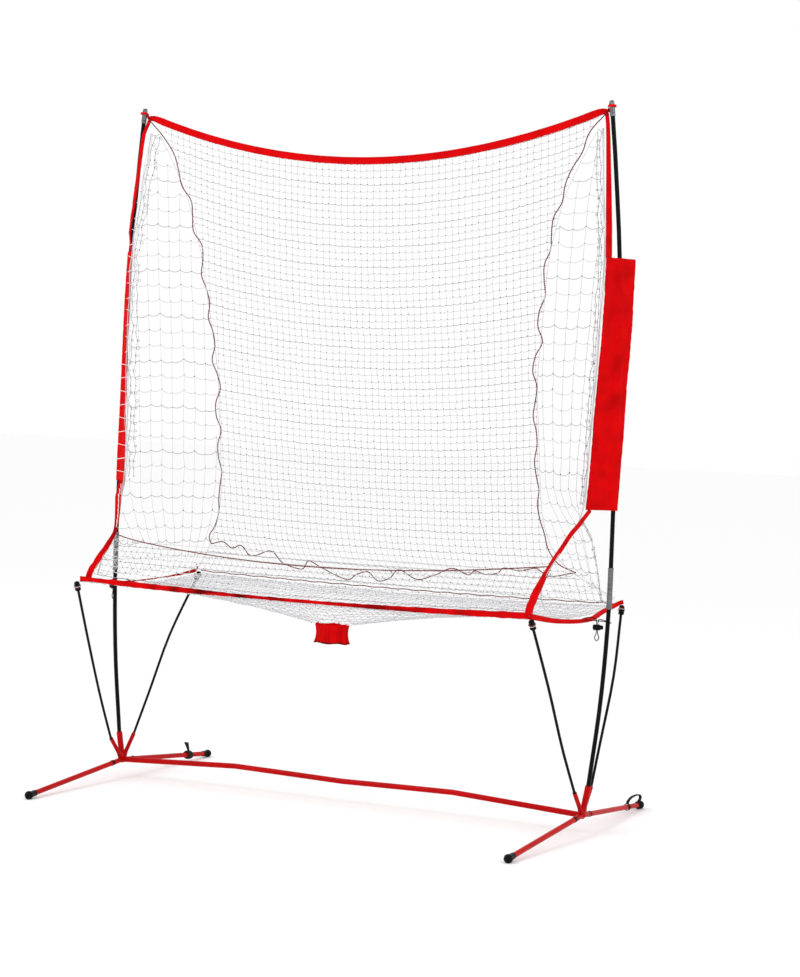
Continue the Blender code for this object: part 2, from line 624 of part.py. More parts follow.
def side_binding(name, side, finish, line):
    """The narrow strip beside the pole, from the top strap down to the wing panel."""
    low_z, high_z = PANEL_TOP + 0.003, 1.955
    panel_pole, panel_width, inner, _ = panel_section(PANEL_TOP, line)
    low = panel_pole - panel_width * (inner - BINDING_WIDTH / 2)
    steps = 8
    path, crosswise = [], []
    for k in range(steps + 1):
        share = k / steps
        z = low_z + (high_z - low_z) * share
        offset = (low - panel_pole) * (1 - share) + Vector((-0.0165, 0.003, 0.0)) * share
        spot = pole_point(z, line) + Vector((offset.x, offset.y, 0.0))
        path.append(Vector((spot.x, spot.y, z)))
        crosswise.append(panel_width.lerp(Vector((1.0, 0.0, 0.0)), share).normalized())
    return ribbon(name, mirrored(path, side), mirrored(crosswise, side), BINDING_WIDTH,
                  STRAP_THICKNESS, finish)


def wing_panel(name, side, finish, line):
    """The flat fabric sleeve that the pole runs through, with a round way for the pole."""
    levels = 7
    outer_rings, inner_rings = [], []
    for i in range(levels):
        z = PANEL_BOTTOM + (PANEL_TOP - PANEL_BOTTOM) * i / (levels - 1)
        centre, width, inner, outer = panel_section(z, line)
        thick = width.cross(UP)
        outline, bore = [], []
        for k in range(ROUND_SIDES):
            a = 2 * math.pi * k / ROUND_SIDES
            u, v = math.cos(a), math.sin(a)
            reach = (outer if u > 0 else inner) * u
            half = PANEL_EDGE_HALF_THICKNESS * (1 + 2 * (1 - abs(u)))
            if abs(u) < 0.6:
                half = PANEL_HALF_THICKNESS
                reach = PANEL_HALF_THICKNESS * 2 * u
            side_sign = 0.0 if abs(v) < 1e-6 else math.copysign(1.0, v)
            outline.append(centre + width * reach + thick * (half * side_sign))
            bore.append(centre + width * (PANEL_BORE * u) + thick * (PANEL_BORE * v))
        outer_rings.append(mirrored(outline, side))
        inner_rings.append(mirrored(bore, side))
    return skin(name, outer_rings + inner_rings[::-1], finish, closed=True)


def side_facing(path):
    """Width directions for a band whose flat side faces sideways."""
    return [pair[0] for pair in across(path, UP)]


def front_strap(name, side, finish):
    """The band from the wing panel's lower corner down to the tray's front corner."""
    path = mirrored(curve_through(FRONT_STRAP, 0.03), side)
    crosswise = []
    for i, _ in enumerate(path):
        ahead = path[min(i + 1, len(path) - 1)] - path[max(i - 1, 0)]
        crosswise.append(ahead.cross(Vector((1.0, 0.0, 0.0))).normalized())
    return ribbon(name, path, crosswise, STRAP_WIDTH, STRAP_THICKNESS, finish)


def front_lip(name, finish):
    """The band along the tray's front edge, a little lower in the middle."""
    end_z, middle_z = FRONT_LIP_Z
    xs = [FRONT_LIP_HALF_LENGTH * (2 * k / 16 - 1) for k in range(17)]
    path = [Vector((x, FRONT_LIP_Y, middle_z + (end_z - middle_z) * (x / FRONT_LIP_HALF_LENGTH) ** 2))
            for x in xs]
    return ribbon(name, path, side_facing(path), STRAP_WIDTH - 0.002, STRAP_THICKNESS, finish)


def side_band(name, side, finish):
    """The band along one side of the tray, drawn out towards the pole in the middle."""
    path = mirrored(curve_through(SIDE_BAND, 0.04), side)
    return ribbon(name, path, side_facing(path), STRAP_WIDTH, STRAP_THICKNESS, finish)


# ---------------------------------------------------------------- nets

def side_net(name, side, finish):
    """One side net, from the binding and front strap back to the back net's edge."""
    front = mirrored(SIDE_NET_FRONT, side)
    rear = mirrored(SIDE_NET_REAR, side)
    columns, fold_column = 8, 3
    fold = [a.lerp(b, fold_column / columns) for a, b in zip(front, rear)]
    fold[-len(SIDE_NET_FOLD):] = mirrored(SIDE_NET_FOLD, side)
    stations = list(zip(front, fold, rear))
    grid = []
    for low, high in zip(stations, stations[1:]):
        steps = max(1, round((high[0] - low[0]).length / 0.12))
        for k in range(steps):
            grid.append([a.lerp(b, k / steps) for a, b in zip(low, high)])
    grid.append(stations[-1])
    rows = []
    for i, (near, middle, far) in enumerate(grid):
        drop = SIDE_NET_DROP * max(0.0, 1 - (len(grid) - 1 - i) / 3)
        row = [near.lerp(middle, j / fold_column) for j in range(fold_column)]
        row += [middle.lerp(far, j / (columns - fold_column)) for j in range(columns - fold_column + 1)]
        rows.append([p - UP * (drop * 4 * (j / columns) * (1 - j / columns)) for j, p in enumerate(row)])
    return slab(name, rows, NET_THICKNESS, finish)


def back_net(name, finish):
    """The fine back net: under the top strap it hangs steeply, then bulges to the rear."""
    edge = [Vector(p) for p in SIDE_NET_REAR]
    edge[0] = Vector((edge[0].x, edge[0].y - 0.003, strap_height(edge[0].x) - STRAP_WIDTH / 2 - 0.007))
    rows = []
    spine = []
    for low, high in zip(edge, edge[1:]):
        steps = max(1, round((high - low).length / 0.11))
        spine += [low.lerp(high, k / steps) for k in range(steps)]
    spine.append(edge[-1])
    top, bottom = spine[0].z, spine[-1].z
    columns = 14
    for point in spine:
        share = (top - point.z) / (top - bottom)
        sag = BACK_NET_SAG * (1 - share) ** 1.2 + BACK_NET_LOW_SAG * share
        half = point.x - NET_SEAM
        row = []
        for j in range(columns + 1):
            u = 2 * j / columns - 1
            bulge = 1 - u * u
            row.append(Vector((half * u, point.y + BACK_NET_BILLOW * bulge * share, point.z - sag * bulge)))
        rows.append(row)
    return slab(name, rows, NET_THICKNESS, finish)


def front_guard(name, finish):
    """The low strip of net that stands on the front lip, under its own cord."""
    end_z, middle_z = FRONT_LIP_Z
    columns, rows = 16, 4
    low, high = [], []
    for j in range(columns + 1):
        u = 2 * j / columns - 1
        x = GUARD_HALF_LENGTH * u
        low.append(Vector((x, FRONT_LIP_Y + 0.009, middle_z + (end_z - middle_z) * u * u + 0.014)))
        cord = GUARD_CORD_MIDDLE.lerp(GUARD_CORD_END, u * u)
        high.append(Vector((x, cord.y, cord.z)))
    grid = [[a.lerp(b, i / rows) for a, b in zip(low, high)] for i in range(rows + 1)]
    return slab(name, grid, NET_THICKNESS, finish)


def tray_rim(angle):
    """A point of the tray's rim in a direction from the chute."""
    away = Vector((math.cos(angle), math.sin(angle)))
    limits = []
    if abs(away.x) > 1e-6:
        limits.append(TRAY_HALF.x / abs(away.x))
    if away.y > 1e-6:
        limits.append((TRAY_REAR_Y - CHUTE_CENTRE.y) / away.y)
    if away.y < -1e-6:
        limits.append((TRAY_HALF.y + CHUTE_CENTRE.y) / -away.y)
    x, y = away * min(limits)
    y += CHUTE_CENTRE.y
    across_share = (x / TRAY_HALF.x) ** 2
    front_z = 0.603 + 0.009 * across_share
    rear_z = 0.594 + 0.012 * across_share
    share = (y + TRAY_HALF.y) / (TRAY_REAR_Y + TRAY_HALF.y)
    edge_z = front_z + (rear_z - front_z) * share
    side_dip = 0.016 * 4 * share * (1 - share) * across_share
    return Vector((x, y, edge_z - side_dip))


def tray_net(name, finish):
    """The catch tray: it slopes from its rim to the mouth of the chute."""
    around, rings = 40, 5
    corner = math.atan2(TRAY_HALF.y + CHUTE_CENTRE.y, TRAY_HALF.x)
    rear_corner = math.atan2(TRAY_REAR_Y - CHUTE_CENTRE.y, TRAY_HALF.x)
    stations = (-corner, rear_corner, math.pi - rear_corner, math.pi + corner, 2 * math.pi - corner)
    shares = (5, 15, 5, 15)
    angles = []
    for low, high, count in zip(stations, stations[1:], shares):
        angles += [low + (high - low) * k / count for k in range(count)]
    assert len(angles) == around
    grid = []
    for i in range(rings + 1):
        t = i / rings
        row = []
        for angle in angles:
            rim = tray_rim(angle)
            mouth = Vector((CHUTE_CENTRE.x + (CHUTE_HALF.x + 0.006) * math.cos(angle),
                            CHUTE_CENTRE.y + (CHUTE_HALF.y + 0.006) * math.sin(angle), CHUTE_TOP + 0.006))
            spot = mouth.lerp(rim, t)
            rise = 1 - (1 - t) ** TRAY_STEEPNESS
            row.append(Vector((spot.x, spot.y, mouth.z + (rim.z - mouth.z) * rise)))
        grid.append(row)
    return slab(name, grid, NET_THICKNESS, finish, wrap=True)


def chute(name, finish):
    """The open fabric sleeve under the tray that the balls drop through."""
    levels, around = 3, 16
    grid = []
    for i in range(levels + 1):
        t = i / levels
        wide = 1 + (CHUTE_FLARE - 1) * t * t
        z = CHUTE_TOP + (CHUTE_BOTTOM - CHUTE_TOP) * t
        grid.append([Vector((CHUTE_CENTRE.x + CHUTE_HALF.x * wide * math.cos(2 * math.pi * k / around),
                             CHUTE_CENTRE.y + CHUTE_HALF.y * wide * math.sin(2 * math.pi * k / around), z))
                     for k in range(around)])
    return slab(name, grid, 0.003, finish, wrap=True)


# ---------------------------------------------------------------- cord locks

def lock_axes(side):
    """Along the button, along the strands (up), and across both."""
    along = Vector((math.cos(LOCK_TURN) * side, math.sin(LOCK_TURN), 0.0))
    return along, UP, along.cross(UP)


def cord_lock(name, side, finish):
    """The barrel of the cord lock: open where its button goes in, slotted for the strands."""
    along, up, aside = lock_axes(side)
    centre = mirrored([LOCK_CENTRE], side)[0]
    low, high = LOCK_BODY
    profile = ((LOCK_CAVITY, 0.0015), (LOCK_CAVITY, LOCK_CAVITY_RADIUS), (high, LOCK_CAVITY_RADIUS),
               (high, LOCK_RADIUS - 0.0006), (high - 0.002, LOCK_RADIUS), (low + 0.003, LOCK_RADIUS),
               (low + 0.0008, LOCK_RADIUS * 0.8), (low, LOCK_RADIUS * 0.5))
    barrel = lathe(name, centre, along, profile, finish, origin=centre)
    slot = box("slot", centre, (along, up, aside), (STRAND_SLOT[0] / 2, 0.02, STRAND_SLOT[1] / 2))
    combine(barrel, [slot], "DIFFERENCE")
    return barrel


def lock_button(name, side, finish):
    """The plunger, with a long slot so that it clears the strands when it is pressed."""
    along, up, aside = lock_axes(side)
    centre = mirrored([LOCK_CENTRE], side)[0]
    low, high = LOCK_BUTTON
    profile = ((low, LOCK_BUTTON_RADIUS), (high - 0.0015, LOCK_BUTTON_RADIUS),
               (high - 0.0004, LOCK_BUTTON_RADIUS * 0.85), (high, LOCK_BUTTON_RADIUS * 0.5))
    plunger = lathe(name, centre, along, profile, finish, origin=centre)
    slot_low = -STRAND_SLOT[0] / 2
    slot_high = STRAND_SLOT[0] / 2 + LOCK_TRAVEL
    middle = centre + along * ((slot_low + slot_high) / 2)
    slot = box("slot", middle, (along, up, aside), ((slot_high - slot_low) / 2, 0.02, STRAND_SLOT[1] / 2))
    combine(plunger, [slot], "DIFFERENCE")
    return plunger


def elastic_route(side):
    """The elastic: from the side band round the pole, through the lock, a bight, and back."""
    along, _, _ = lock_axes(1)
    first = LOCK_CENTRE + along * (STRAND_APART / 2)
    second = LOCK_CENTRE - along * (STRAND_APART / 2)
    wide = along * 0.0050
    route = [(0.7245, 0.010, 0.5905), (0.745, 0.012, 0.5905), (0.770, 0.0125, 0.590),
             (0.786, 0.0105, 0.589), (0.7955, 0.0085, 0.588), (0.8015, 0.0030, 0.588),
             (0.8018, -0.0050, 0.589), (0.7965, -0.0150, 0.593), (0.7880, -0.0245, 0.597),
             first + UP * 0.0205 + along * 0.001, first + UP * 0.0145, first, first - UP * 0.0155,
             first - UP * 0.0200 + along * 0.0008, first - UP * 0.0265 + wide * 0.75,
             LOCK_CENTRE - UP * 0.0345 + wide * 0.62, LOCK_CENTRE - UP * 0.0368,
             LOCK_CENTRE - UP * 0.0345 - wide * 0.62, second - UP * 0.0265 - wide * 0.75,
             second - UP * 0.0200 - along * 0.0008, second - UP * 0.0155, second,
             second + UP * 0.0145, second + UP * 0.0205 - along * 0.001, (0.762, -0.0340, 0.6020),
             (0.744, -0.0240, 0.6010), (0.7245, -0.0160, 0.5950)]
    return mirrored(route, side)


def elastic_cord(name, side, finish):
    """The elastic cord as a round tube on its route."""
    path = curve_through(elastic_route(side), 0.0075)
    curve = bpy.data.curves.new(name, "CURVE")
    curve.dimensions = "3D"
    curve.bevel_depth = CORD_RADIUS
    curve.bevel_resolution = 2
    curve.use_fill_caps = True
    spline = curve.splines.new("POLY")
    spline.points.add(len(path) - 1)
    for point, place in zip(spline.points, path):
        point.co = (*place, 1.0)
    curve.materials.append(finish)
    thing = bpy.data.objects.new(name, curve)
    bpy.context.scene.collection.objects.link(thing)
    return thing


# ---------------------------------------------------------------- webbing loops

def webbing_ring(name, side, place, half, bore, finish=None):
    """A ring of webbing round a rear leg, or round its foot cap."""
    start, ahead, _ = leg_line(side, 1)
    low, high = place - half, place + half
    wall = bore + WEBBING_THICKNESS
    profile = ((low, bore), (low, wall), (high, wall), (high, bore))
    return lathe(name, start, ahead, profile, finish, closed=True, origin=start + ahead * place)


def webbing_band(side, knots, widths):
    """A strip of webbing on a rear leg; its width changes evenly from one end to the other."""
    start, ahead, _ = leg_line(side, 1)
    lift, aside = across([Vector(), ahead])[0]
    path = curve_through([start + ahead * s + lift * h for s, h in knots], 0.008)
    grid = []
    for i, spot in enumerate(path):
        half = (widths[0] + (widths[1] - widths[0]) * i / (len(path) - 1)) / 2
        grid.append([spot - aside * half, spot + aside * half])
    return slab("band", grid, WEBBING_THICKNESS, None)


def webbing_loop(name, side, finish):
    """The webbing on a rear leg: a ring, and either an arch over the foot cap or a loose tail."""
    ring_bore = LEG_RADIUS + WEBBING_CLEARANCE
    loop = webbing_ring(name, side, WEBBING_RING_PLACE, WEBBING_WIDTH / 2, ring_bore, finish)
    if side > 0:
        cap_bore = FOOT_SLEEVE_RADIUS + WEBBING_CLEARANCE
        parts = [webbing_band(side, WEBBING_ARCH, (WEBBING_WIDTH, WEBBING_WIDTH)),
                 webbing_ring("cap_ring", side, WEBBING_CAP_PLACE, 0.003, cap_bore)]
    else:
        parts = [webbing_band(side, WEBBING_TAIL, WEBBING_TAIL_WIDTH)]
    combine(loop, parts, "UNION")
    return loop


# ---------------------------------------------------------------- the whole net

def build_stand(finishes):
    """Hubs, legs, collars, buttons, foot caps, crossbar and the rear legs' webbing."""
    for side_name, side in SIDES:
        hub(f"hub_{side_name}", side, finishes["red_paint"])
        for end_name, end in ENDS:
            label = f"{end_name}_{side_name}"
            leg(f"leg_{label}", side, end, finishes["red_paint"])
            leg_collar(f"leg_collar_{label}", side, end, finishes["black_plastic"])
            push_button(f"push_button_{label}", side, end, finishes["steel"])
            foot_cap(f"foot_cap_{label}", side, end, finishes["black_plastic"])
        webbing_loop(f"webbing_loop_{side_name}", side, finishes["black_webbing"])
    crossbar("crossbar", finishes["red_paint"])


def build_frame(finishes, line):
    """Poles and rods."""
    for side_name, side in SIDES:
        poles(side_name, side, finishes, line)
        rods(side_name, side, finishes)


def build_fabric(finishes, line):
    """Straps, bindings, wing panels and the chute."""
    red = finishes["red_fabric"]
    top_strap("top_strap", red)
    front_lip("front_lip", red)
    chute("chute_sleeve", red)
    for side_name, side in SIDES:
        side_binding(f"side_binding_{side_name}", side, red, line)
        wing_panel(f"wing_panel_{side_name}", side, red, line)
        front_strap(f"front_strap_{side_name}", side, red)
        side_band(f"side_band_{side_name}", side, red)


def build_nets(finishes):
    """Back net, side nets, front guard and catch tray."""
    white = finishes["white_net"]
    back_net("back_net", white)
    front_guard("front_guard_net", white)
    tray_net("tray_net", white)
    for side_name, side in SIDES:
        side_net(f"side_net_{side_name}", side, white)


def build_locks(finishes):
    """The elastic cords and their locks."""
    for side_name, side in SIDES:
        cord_lock(f"cord_lock_{side_name}", side, finishes["black_plastic"])
        lock_button(f"lock_button_{side_name}", side, finishes["black_plastic"])
        elastic_cord(f"elastic_cord_{side_name}", side, finishes["black_elastic"])


def build():
    """Model the whole net in an empty scene."""
    clear_scene()
    finishes = make_materials()
    line = pole_line()
    build_stand(finishes)
    build_frame(finishes, line)
    build_fabric(finishes, line)
    build_nets(finishes)
    build_locks(finishes)


build()
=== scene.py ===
"""Looks of the pitching target net: knotted nets, sewn straps, sleeves, cords and finishes.

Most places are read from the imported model, and the named values below are in its frame, in metres.
X is to the right, Y to the back and Z up.
"""

import json
import math

import bpy
import numpy as np
from mathutils import Matrix, Vector, noise
from mathutils.bvhtree import BVHTree


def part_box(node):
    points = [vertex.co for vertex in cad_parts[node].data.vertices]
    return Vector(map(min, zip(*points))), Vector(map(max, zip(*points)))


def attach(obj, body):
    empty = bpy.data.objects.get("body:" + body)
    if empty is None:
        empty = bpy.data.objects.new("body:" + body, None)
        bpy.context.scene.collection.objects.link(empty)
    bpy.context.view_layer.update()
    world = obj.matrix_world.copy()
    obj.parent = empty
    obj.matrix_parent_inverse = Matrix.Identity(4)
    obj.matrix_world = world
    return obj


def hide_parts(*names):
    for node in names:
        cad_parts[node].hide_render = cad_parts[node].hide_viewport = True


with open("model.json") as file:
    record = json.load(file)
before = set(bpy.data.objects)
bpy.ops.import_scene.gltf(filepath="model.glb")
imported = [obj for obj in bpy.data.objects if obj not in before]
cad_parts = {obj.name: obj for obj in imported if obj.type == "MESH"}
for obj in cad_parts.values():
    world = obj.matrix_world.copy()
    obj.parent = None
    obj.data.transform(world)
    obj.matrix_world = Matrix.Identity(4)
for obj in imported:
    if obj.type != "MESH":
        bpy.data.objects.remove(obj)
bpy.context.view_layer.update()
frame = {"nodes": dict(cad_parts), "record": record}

UP = Vector((0.0, 0.0, 1.0))
RIGHT = Vector((1.0, 0.0, 0.0))
SIDES = (("right", 1), ("left", -1))
CORNERS = ("front_right", "rear_right", "front_left", "rear_left")

# Camera: where it stands, and how it is turned.
CAMERA_PLACE = (2.99177, -6.01247, 1.16968)
CAMERA_YAW = math.radians(25.321)
CAMERA_PITCH = math.radians(-2.136)
CAMERA_ROLL = math.radians(2.435)
CAMERA_LENS = 86.04

# Nets: size of a mesh, strand and knot radius.
FINE_MESH = 0.0205
FINE_STRAND = 0.00085
FINE_KNOT = 0.0018
COARSE_MESH = 0.045
COARSE_MESH_WIDE = {"right": 0.048, "left": 0.033}
COARSE_STRAND = 0.00095
COARSE_KNOT = 0.0021
NET_WOBBLE = 0.0016
HALF_COLUMNS = 34
BACK_NET_ROWS = 64
TRAY_MESH = 0.0202
TRAY_ROWS = 34
GUARD_COLUMNS = 69
GUARD_ROWS = 10

# Side nets: where they fold, and the two gathered lines beside the binding.
FOLD_SHARE = 0.375
LEFT_REAR_WIDTH = 0.19
BUNCH_LINES = (0.010, 0.023)

# Guard net: how far from the middle it starts to lean back to the front straps, and over what width.
GUARD_STRAIGHT = 0.56
GUARD_LEANING = 0.13
GUARD_END = 0.6905

# Laces of two strands: radius of a strand, length of a turn, points in a turn.
LACE_RADIUS = 0.0011
LACE_PITCH = 0.011
LACE_STEPS = 7
WHITE_LACING_PITCH = 0.040
FERRULE_TURNS = ((0.716, 0.004), (0.690, -0.003), (0.664, 0.003), (0.637, -0.004))

# Fabric: thickness of the doubled straps, stitches, and how finely the sleeves are divided.
STRAP_THICKNESS = 0.0022
STITCH_PITCH = 0.0046
STITCH_LENGTH = 0.0031
STITCH_RADIUS = 0.00033
PANEL_ROWS = 120
PANEL_STEPS = 24
CHUTE_ROWS = 31
CHUTE_STEPS = 120

# How the left front strap hangs away from its plain place: heights, and moves in X and in Y.
HANG_HEIGHTS = (0.62, 0.66, 0.70, 0.75, 0.80, 0.85, 0.897)
HANG_ASIDE = (0.011, 0.015, 0.015, 0.011, 0.003, -0.008, -0.010)
HANG_BACK = (0.032, 0.042, 0.042, 0.032, 0.015, 0.000, -0.004)

# Where the straps end at the tray's right corners.
FRONT_STRAP_END = ((0.6995, -0.3385, 0.655), (0.6990, -0.3450, 0.638), (0.6985, -0.3465, 0.623))
SIDE_BAND_START = ((0.6985, -0.3375, 0.6205),)
SIDE_BAND_END = ((0.7040, 0.3400, 0.6175), (0.7110, 0.3460, 0.6185))
LIP_REACH = 0.6975

# Elastic cord with its lock.
CORD_RADIUS = 0.0013
LOCK_CENTRE = Vector((0.776, -0.036, 0.577))
LOCK_TURN = math.radians(27)
STRAND_APART = 0.0040

# The lace along the back net's foot, as places across and heights.
HEM_ROUTE = ((-0.575, 0.710), (-0.530, 0.718), (-0.505, 0.701), (-0.475, 0.712), (-0.460, 0.682),
             (-0.370, 0.700), (-0.358, 0.660), (-0.315, 0.646), (-0.250, 0.677), (-0.233, 0.660),
             (-0.172, 0.622), (-0.120, 0.644), (-0.076, 0.655), (-0.064, 0.626), (-0.020, 0.636),
             (0.044, 0.670), (0.076, 0.643), (0.150, 0.662), (0.238, 0.688), (0.264, 0.671),
             (0.300, 0.686), (0.318, 0.678), (0.364, 0.684), (0.394, 0.702), (0.443, 0.697),
             (0.500, 0.707), (0.514, 0.690), (0.606, 0.702))

# Webbing on a rear leg, from the hub to the foot: places along the leg and heights over its axis.
HUB_CENTRE = (0.744, 0.0, 0.0525)
REAR_FOOT = (0.736, 0.5026, 0.0112)
WEBBING_RING_PLACE = 0.385
WEBBING_CAP_PLACE = 0.4885
WEBBING_ARCH = ((0.385, 0.0095), (0.391, 0.0160), (0.408, 0.0235), (0.436, 0.0285), (0.468, 0.0305),
                (0.492, 0.0290), (0.5025, 0.0215), (0.4975, 0.0150), (0.4885, 0.0108))
WEBBING_TAIL = ((0.385, 0.0095), (0.381, 0.0180), (0.374, 0.0290), (0.367, 0.0400))
WEBBING_THICKNESS = 0.0016

# Rings of webbing: radius, width and thickness.  A knot's turns are given by their shift and lean.
LEG_RING = (0.0095, 0.009, 0.0018)
CAP_RING = (0.0108, 0.006, 0.0018)
KNOT_RING = (0.0112, 0.009, 0.0040)
KNOT_TURNS = ((-0.008, 0.40), (-0.001, -0.35), (0.006, 0.30))
RING_STEPS = 40


# ---------------------------------------------------------------- camera and stage

def make_camera():
    """The camera: turned about the upright, tipped, then rolled about its own view."""
    lens = bpy.data.cameras.new("camera")
    lens.lens = CAMERA_LENS
    lens.clip_end = 100.0
    camera = bpy.data.objects.new("camera", lens)
    turns = (Matrix.Rotation(CAMERA_YAW, 4, "Z") @ Matrix.Rotation(math.pi / 2 + CAMERA_PITCH, 4, "X")
             @ Matrix.Rotation(CAMERA_ROLL, 4, "Z"))
    camera.matrix_world = Matrix.Translation(CAMERA_PLACE) @ turns
    bpy.context.scene.collection.objects.link(camera)
    bpy.context.scene.camera = camera


def area_light(name, place, target, size, power):
    """A soft square light that faces a target."""
    light = bpy.data.lights.new(name, "AREA")
    light.size = size
    light.energy = power
    lamp = bpy.data.objects.new(name, light)
    lamp.location = place
    lamp.rotation_euler = (Vector(target) - Vector(place)).to_track_quat("-Z", "Y").to_euler()
    bpy.context.scene.collection.objects.link(lamp)


def make_stage():
    """A plain pale floor, white surroundings and soft lights."""
    paint = bpy.data.materials.new("floor_paint")
    paint.use_nodes = True
    shader = paint.node_tree.nodes["Principled BSDF"]
    shader.inputs["Base Color"].default_value = (0.97, 0.97, 0.97, 1.0)
    shader.inputs["Roughness"].default_value = 0.9
    mesh = bpy.data.meshes.new("floor")
    reach = 40.0
    corners = [(-reach, -reach, 0), (reach, -reach, 0), (reach, reach, 0), (-reach, reach, 0)]
    mesh.from_pydata(corners, [], [(0, 1, 2, 3)])
    mesh.materials.append(paint)
    floor = bpy.data.objects.new("floor", mesh)
    bpy.context.scene.collection.objects.link(floor)
    world = bpy.data.worlds.new("surroundings")
    world.use_nodes = True
    sky = world.node_tree.nodes["Background"]
    sky.inputs["Color"].default_value = (1.0, 1.0, 1.0, 1.0)
    sky.inputs["Strength"].default_value = 1.0
    bpy.context.scene.world = world
    bpy.context.scene.view_settings.view_transform = "Standard"
    area_light("key", (-2.6, -3.6, 4.6), (0, 0, 1.0), 1.6, 70)
    area_light("side", (4.6, -1.0, 3.0), (0, 0, 0.9), 1.6, 20)


# ---------------------------------------------------------------- places read from the model

def crossings(name, axis, value):
    """The points where a node's mesh crosses a plane just past a value of one axis."""
    value += 0.000001
    mesh = frame["nodes"][name].data
    corners = np.array([v.co for v in mesh.vertices])
    edges = np.array([e.vertices for e in mesh.edges])
    a, b = corners[edges[:, 0]], corners[edges[:, 1]]
    crossed = (a[:, axis] - value) * (b[:, axis] - value) < 0
    a, b = a[crossed], b[crossed]
    share = (value - a[:, axis]) / (b[:, axis] - a[:, axis])
    return a + (b - a) * share[:, None]


def middle(points):
    """The middle of the box round some points."""
    return Vector((points.min(0) + points.max(0)) / 2)


def pole_centre(side_name, z):
    """The centre of a pole at a height."""
    low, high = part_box(f"pole_upper_{side_name}")
    part = "upper" if z > low.z + 0.002 else "lower"
    return middle(crossings(f"pole_{part}_{side_name}", 2, min(z, high.z - 0.001)))


def net_edges(side_name, z):
    """The front and the rear edge point of a side net at a height."""
    points = crossings(f"side_net_{side_name}", 2, z)
    order = np.argsort(points[:, 1])
    return Vector(points[order[0]]), Vector(points[order[-1]])


# ---------------------------------------------------------------- mesh building

class Shape:
    """Points and faces that are gathered before they become one piece."""

    def __init__(self):
        self.points, self.faces, self.marks = [], [], []
        self.uvs, self.shades = [], []
        self.count = 0

    def add(self, points, faces, mark=0, uvs=None, shades=None):
        """Add points, and faces that number them from 0; mark picks the material."""
        points = np.asarray(points, float).reshape(-1, 3)
        self.points.append(points)
        start = self.count
        self.faces += [tuple(start + k for k in face) for face in faces]
        self.marks += [mark] * len(faces)
        self.uvs.append(np.zeros((len(points), 2)) if uvs is None else np.asarray(uvs, float))
        self.shades.append(np.ones(len(points)) if shades is None else np.asarray(shades, float))
        self.count += len(points)


def make_piece(name, shape, materials, body="stand", replaces=()):
    """Turn a shape into an object that rides on a body and has a material slot."""
    mesh = bpy.data.meshes.new(name)
    mesh.from_pydata(np.concatenate(shape.points).tolist(), [], shape.faces)
    for material in materials:
        mesh.materials.append(material)
    mesh.polygons.foreach_set("material_index", shape.marks)
    mesh.shade_smooth()
    corner_points = np.zeros(len(mesh.loops), np.int32)
    mesh.loops.foreach_get("vertex_index", corner_points)
    layer = mesh.uv_layers.new(name="weave")
    layer.data.foreach_set("uv", np.concatenate(shape.uvs)[corner_points].ravel())
    shade = mesh.attributes.new("shade", "FLOAT", "POINT")
    shade.data.foreach_set("value", np.concatenate(shape.shades))
    mesh.update()
    piece = bpy.data.objects.new(name, mesh)
    bpy.context.scene.collection.objects.link(piece)
    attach(piece, body)
    if replaces:
        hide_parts(*replaces)
    return piece


def directions(path):
    """Unit direction at each point of a path."""
    ahead = np.gradient(path, axis=0)
    return ahead / np.maximum(np.linalg.norm(ahead, axis=1, keepdims=True), 1e-12)


def tube(shape, path, radius, sides, mark=0, facing=None, ends=True):
    """A round strand along a path; facing is a direction that the path never takes, if known."""
    path = np.asarray([tuple(p) for p in path], float)
    ahead = directions(path)
    if facing is None:
        across = np.zeros_like(ahead)
        least = np.eye(3)[np.argmin(np.abs(ahead[0]))]
        for i, a in enumerate(ahead):
            least = least - a * (least @ a)
            least = least / np.linalg.norm(least)
            across[i] = least
    else:
        across = np.cross(ahead, np.asarray(facing, float))
        across /= np.maximum(np.linalg.norm(across, axis=1, keepdims=True), 1e-12)
    above = np.cross(ahead, across)
    turns = 2 * math.pi * np.arange(sides) / sides
    radius = np.broadcast_to(np.asarray(radius, float), (len(path),))
    ring = (np.cos(turns)[None, :, None] * across[:, None, :]
            + np.sin(turns)[None, :, None] * above[:, None, :])
    points = path[:, None, :] + ring * radius[:, None, None]
    here = np.arange(sides)
    after = (here + 1) % sides
    base = np.arange(len(path) - 1)[:, None] * sides
    quads = np.stack([base + here, base + after, base + sides + after, base + sides + here], axis=2)
    faces = [tuple(q) for q in quads.reshape(-1, 4).tolist()]
    if ends:
        faces.append(tuple(range(sides))[::-1])
        faces.append(tuple(range((len(path) - 1) * sides, len(path) * sides)))
    shape.add(points.reshape(-1, 3), faces, mark)


def knots(shape, places, radius, mark, seed):
    """A small rounded knot at each place, each one turned a little differently."""
    ring = [(math.cos(2 * math.pi * k / 5), math.sin(2 * math.pi * k / 5), 0.0) for k in range(5)]
    bead = np.array(ring + [(0, 0, 1.0), (0, 0, -1.0)]) * (1.25, 1.0, 0.85)
    sides = [(k, (k + 1) % 5, 5) for k in range(5)] + [((k + 1) % 5, k, 6) for k in range(5)]
    draw = np.random.default_rng(seed)
    for place in places:
        turn = draw.uniform(0, math.pi)
        c, s = math.cos(turn), math.sin(turn)
        spin = np.array(((c, 0, -s), (0, 1, 0), (s, 0, c)))
        size = radius * draw.uniform(0.85, 1.15)
        shape.add(bead @ spin * size + np.asarray(place), sides, mark)


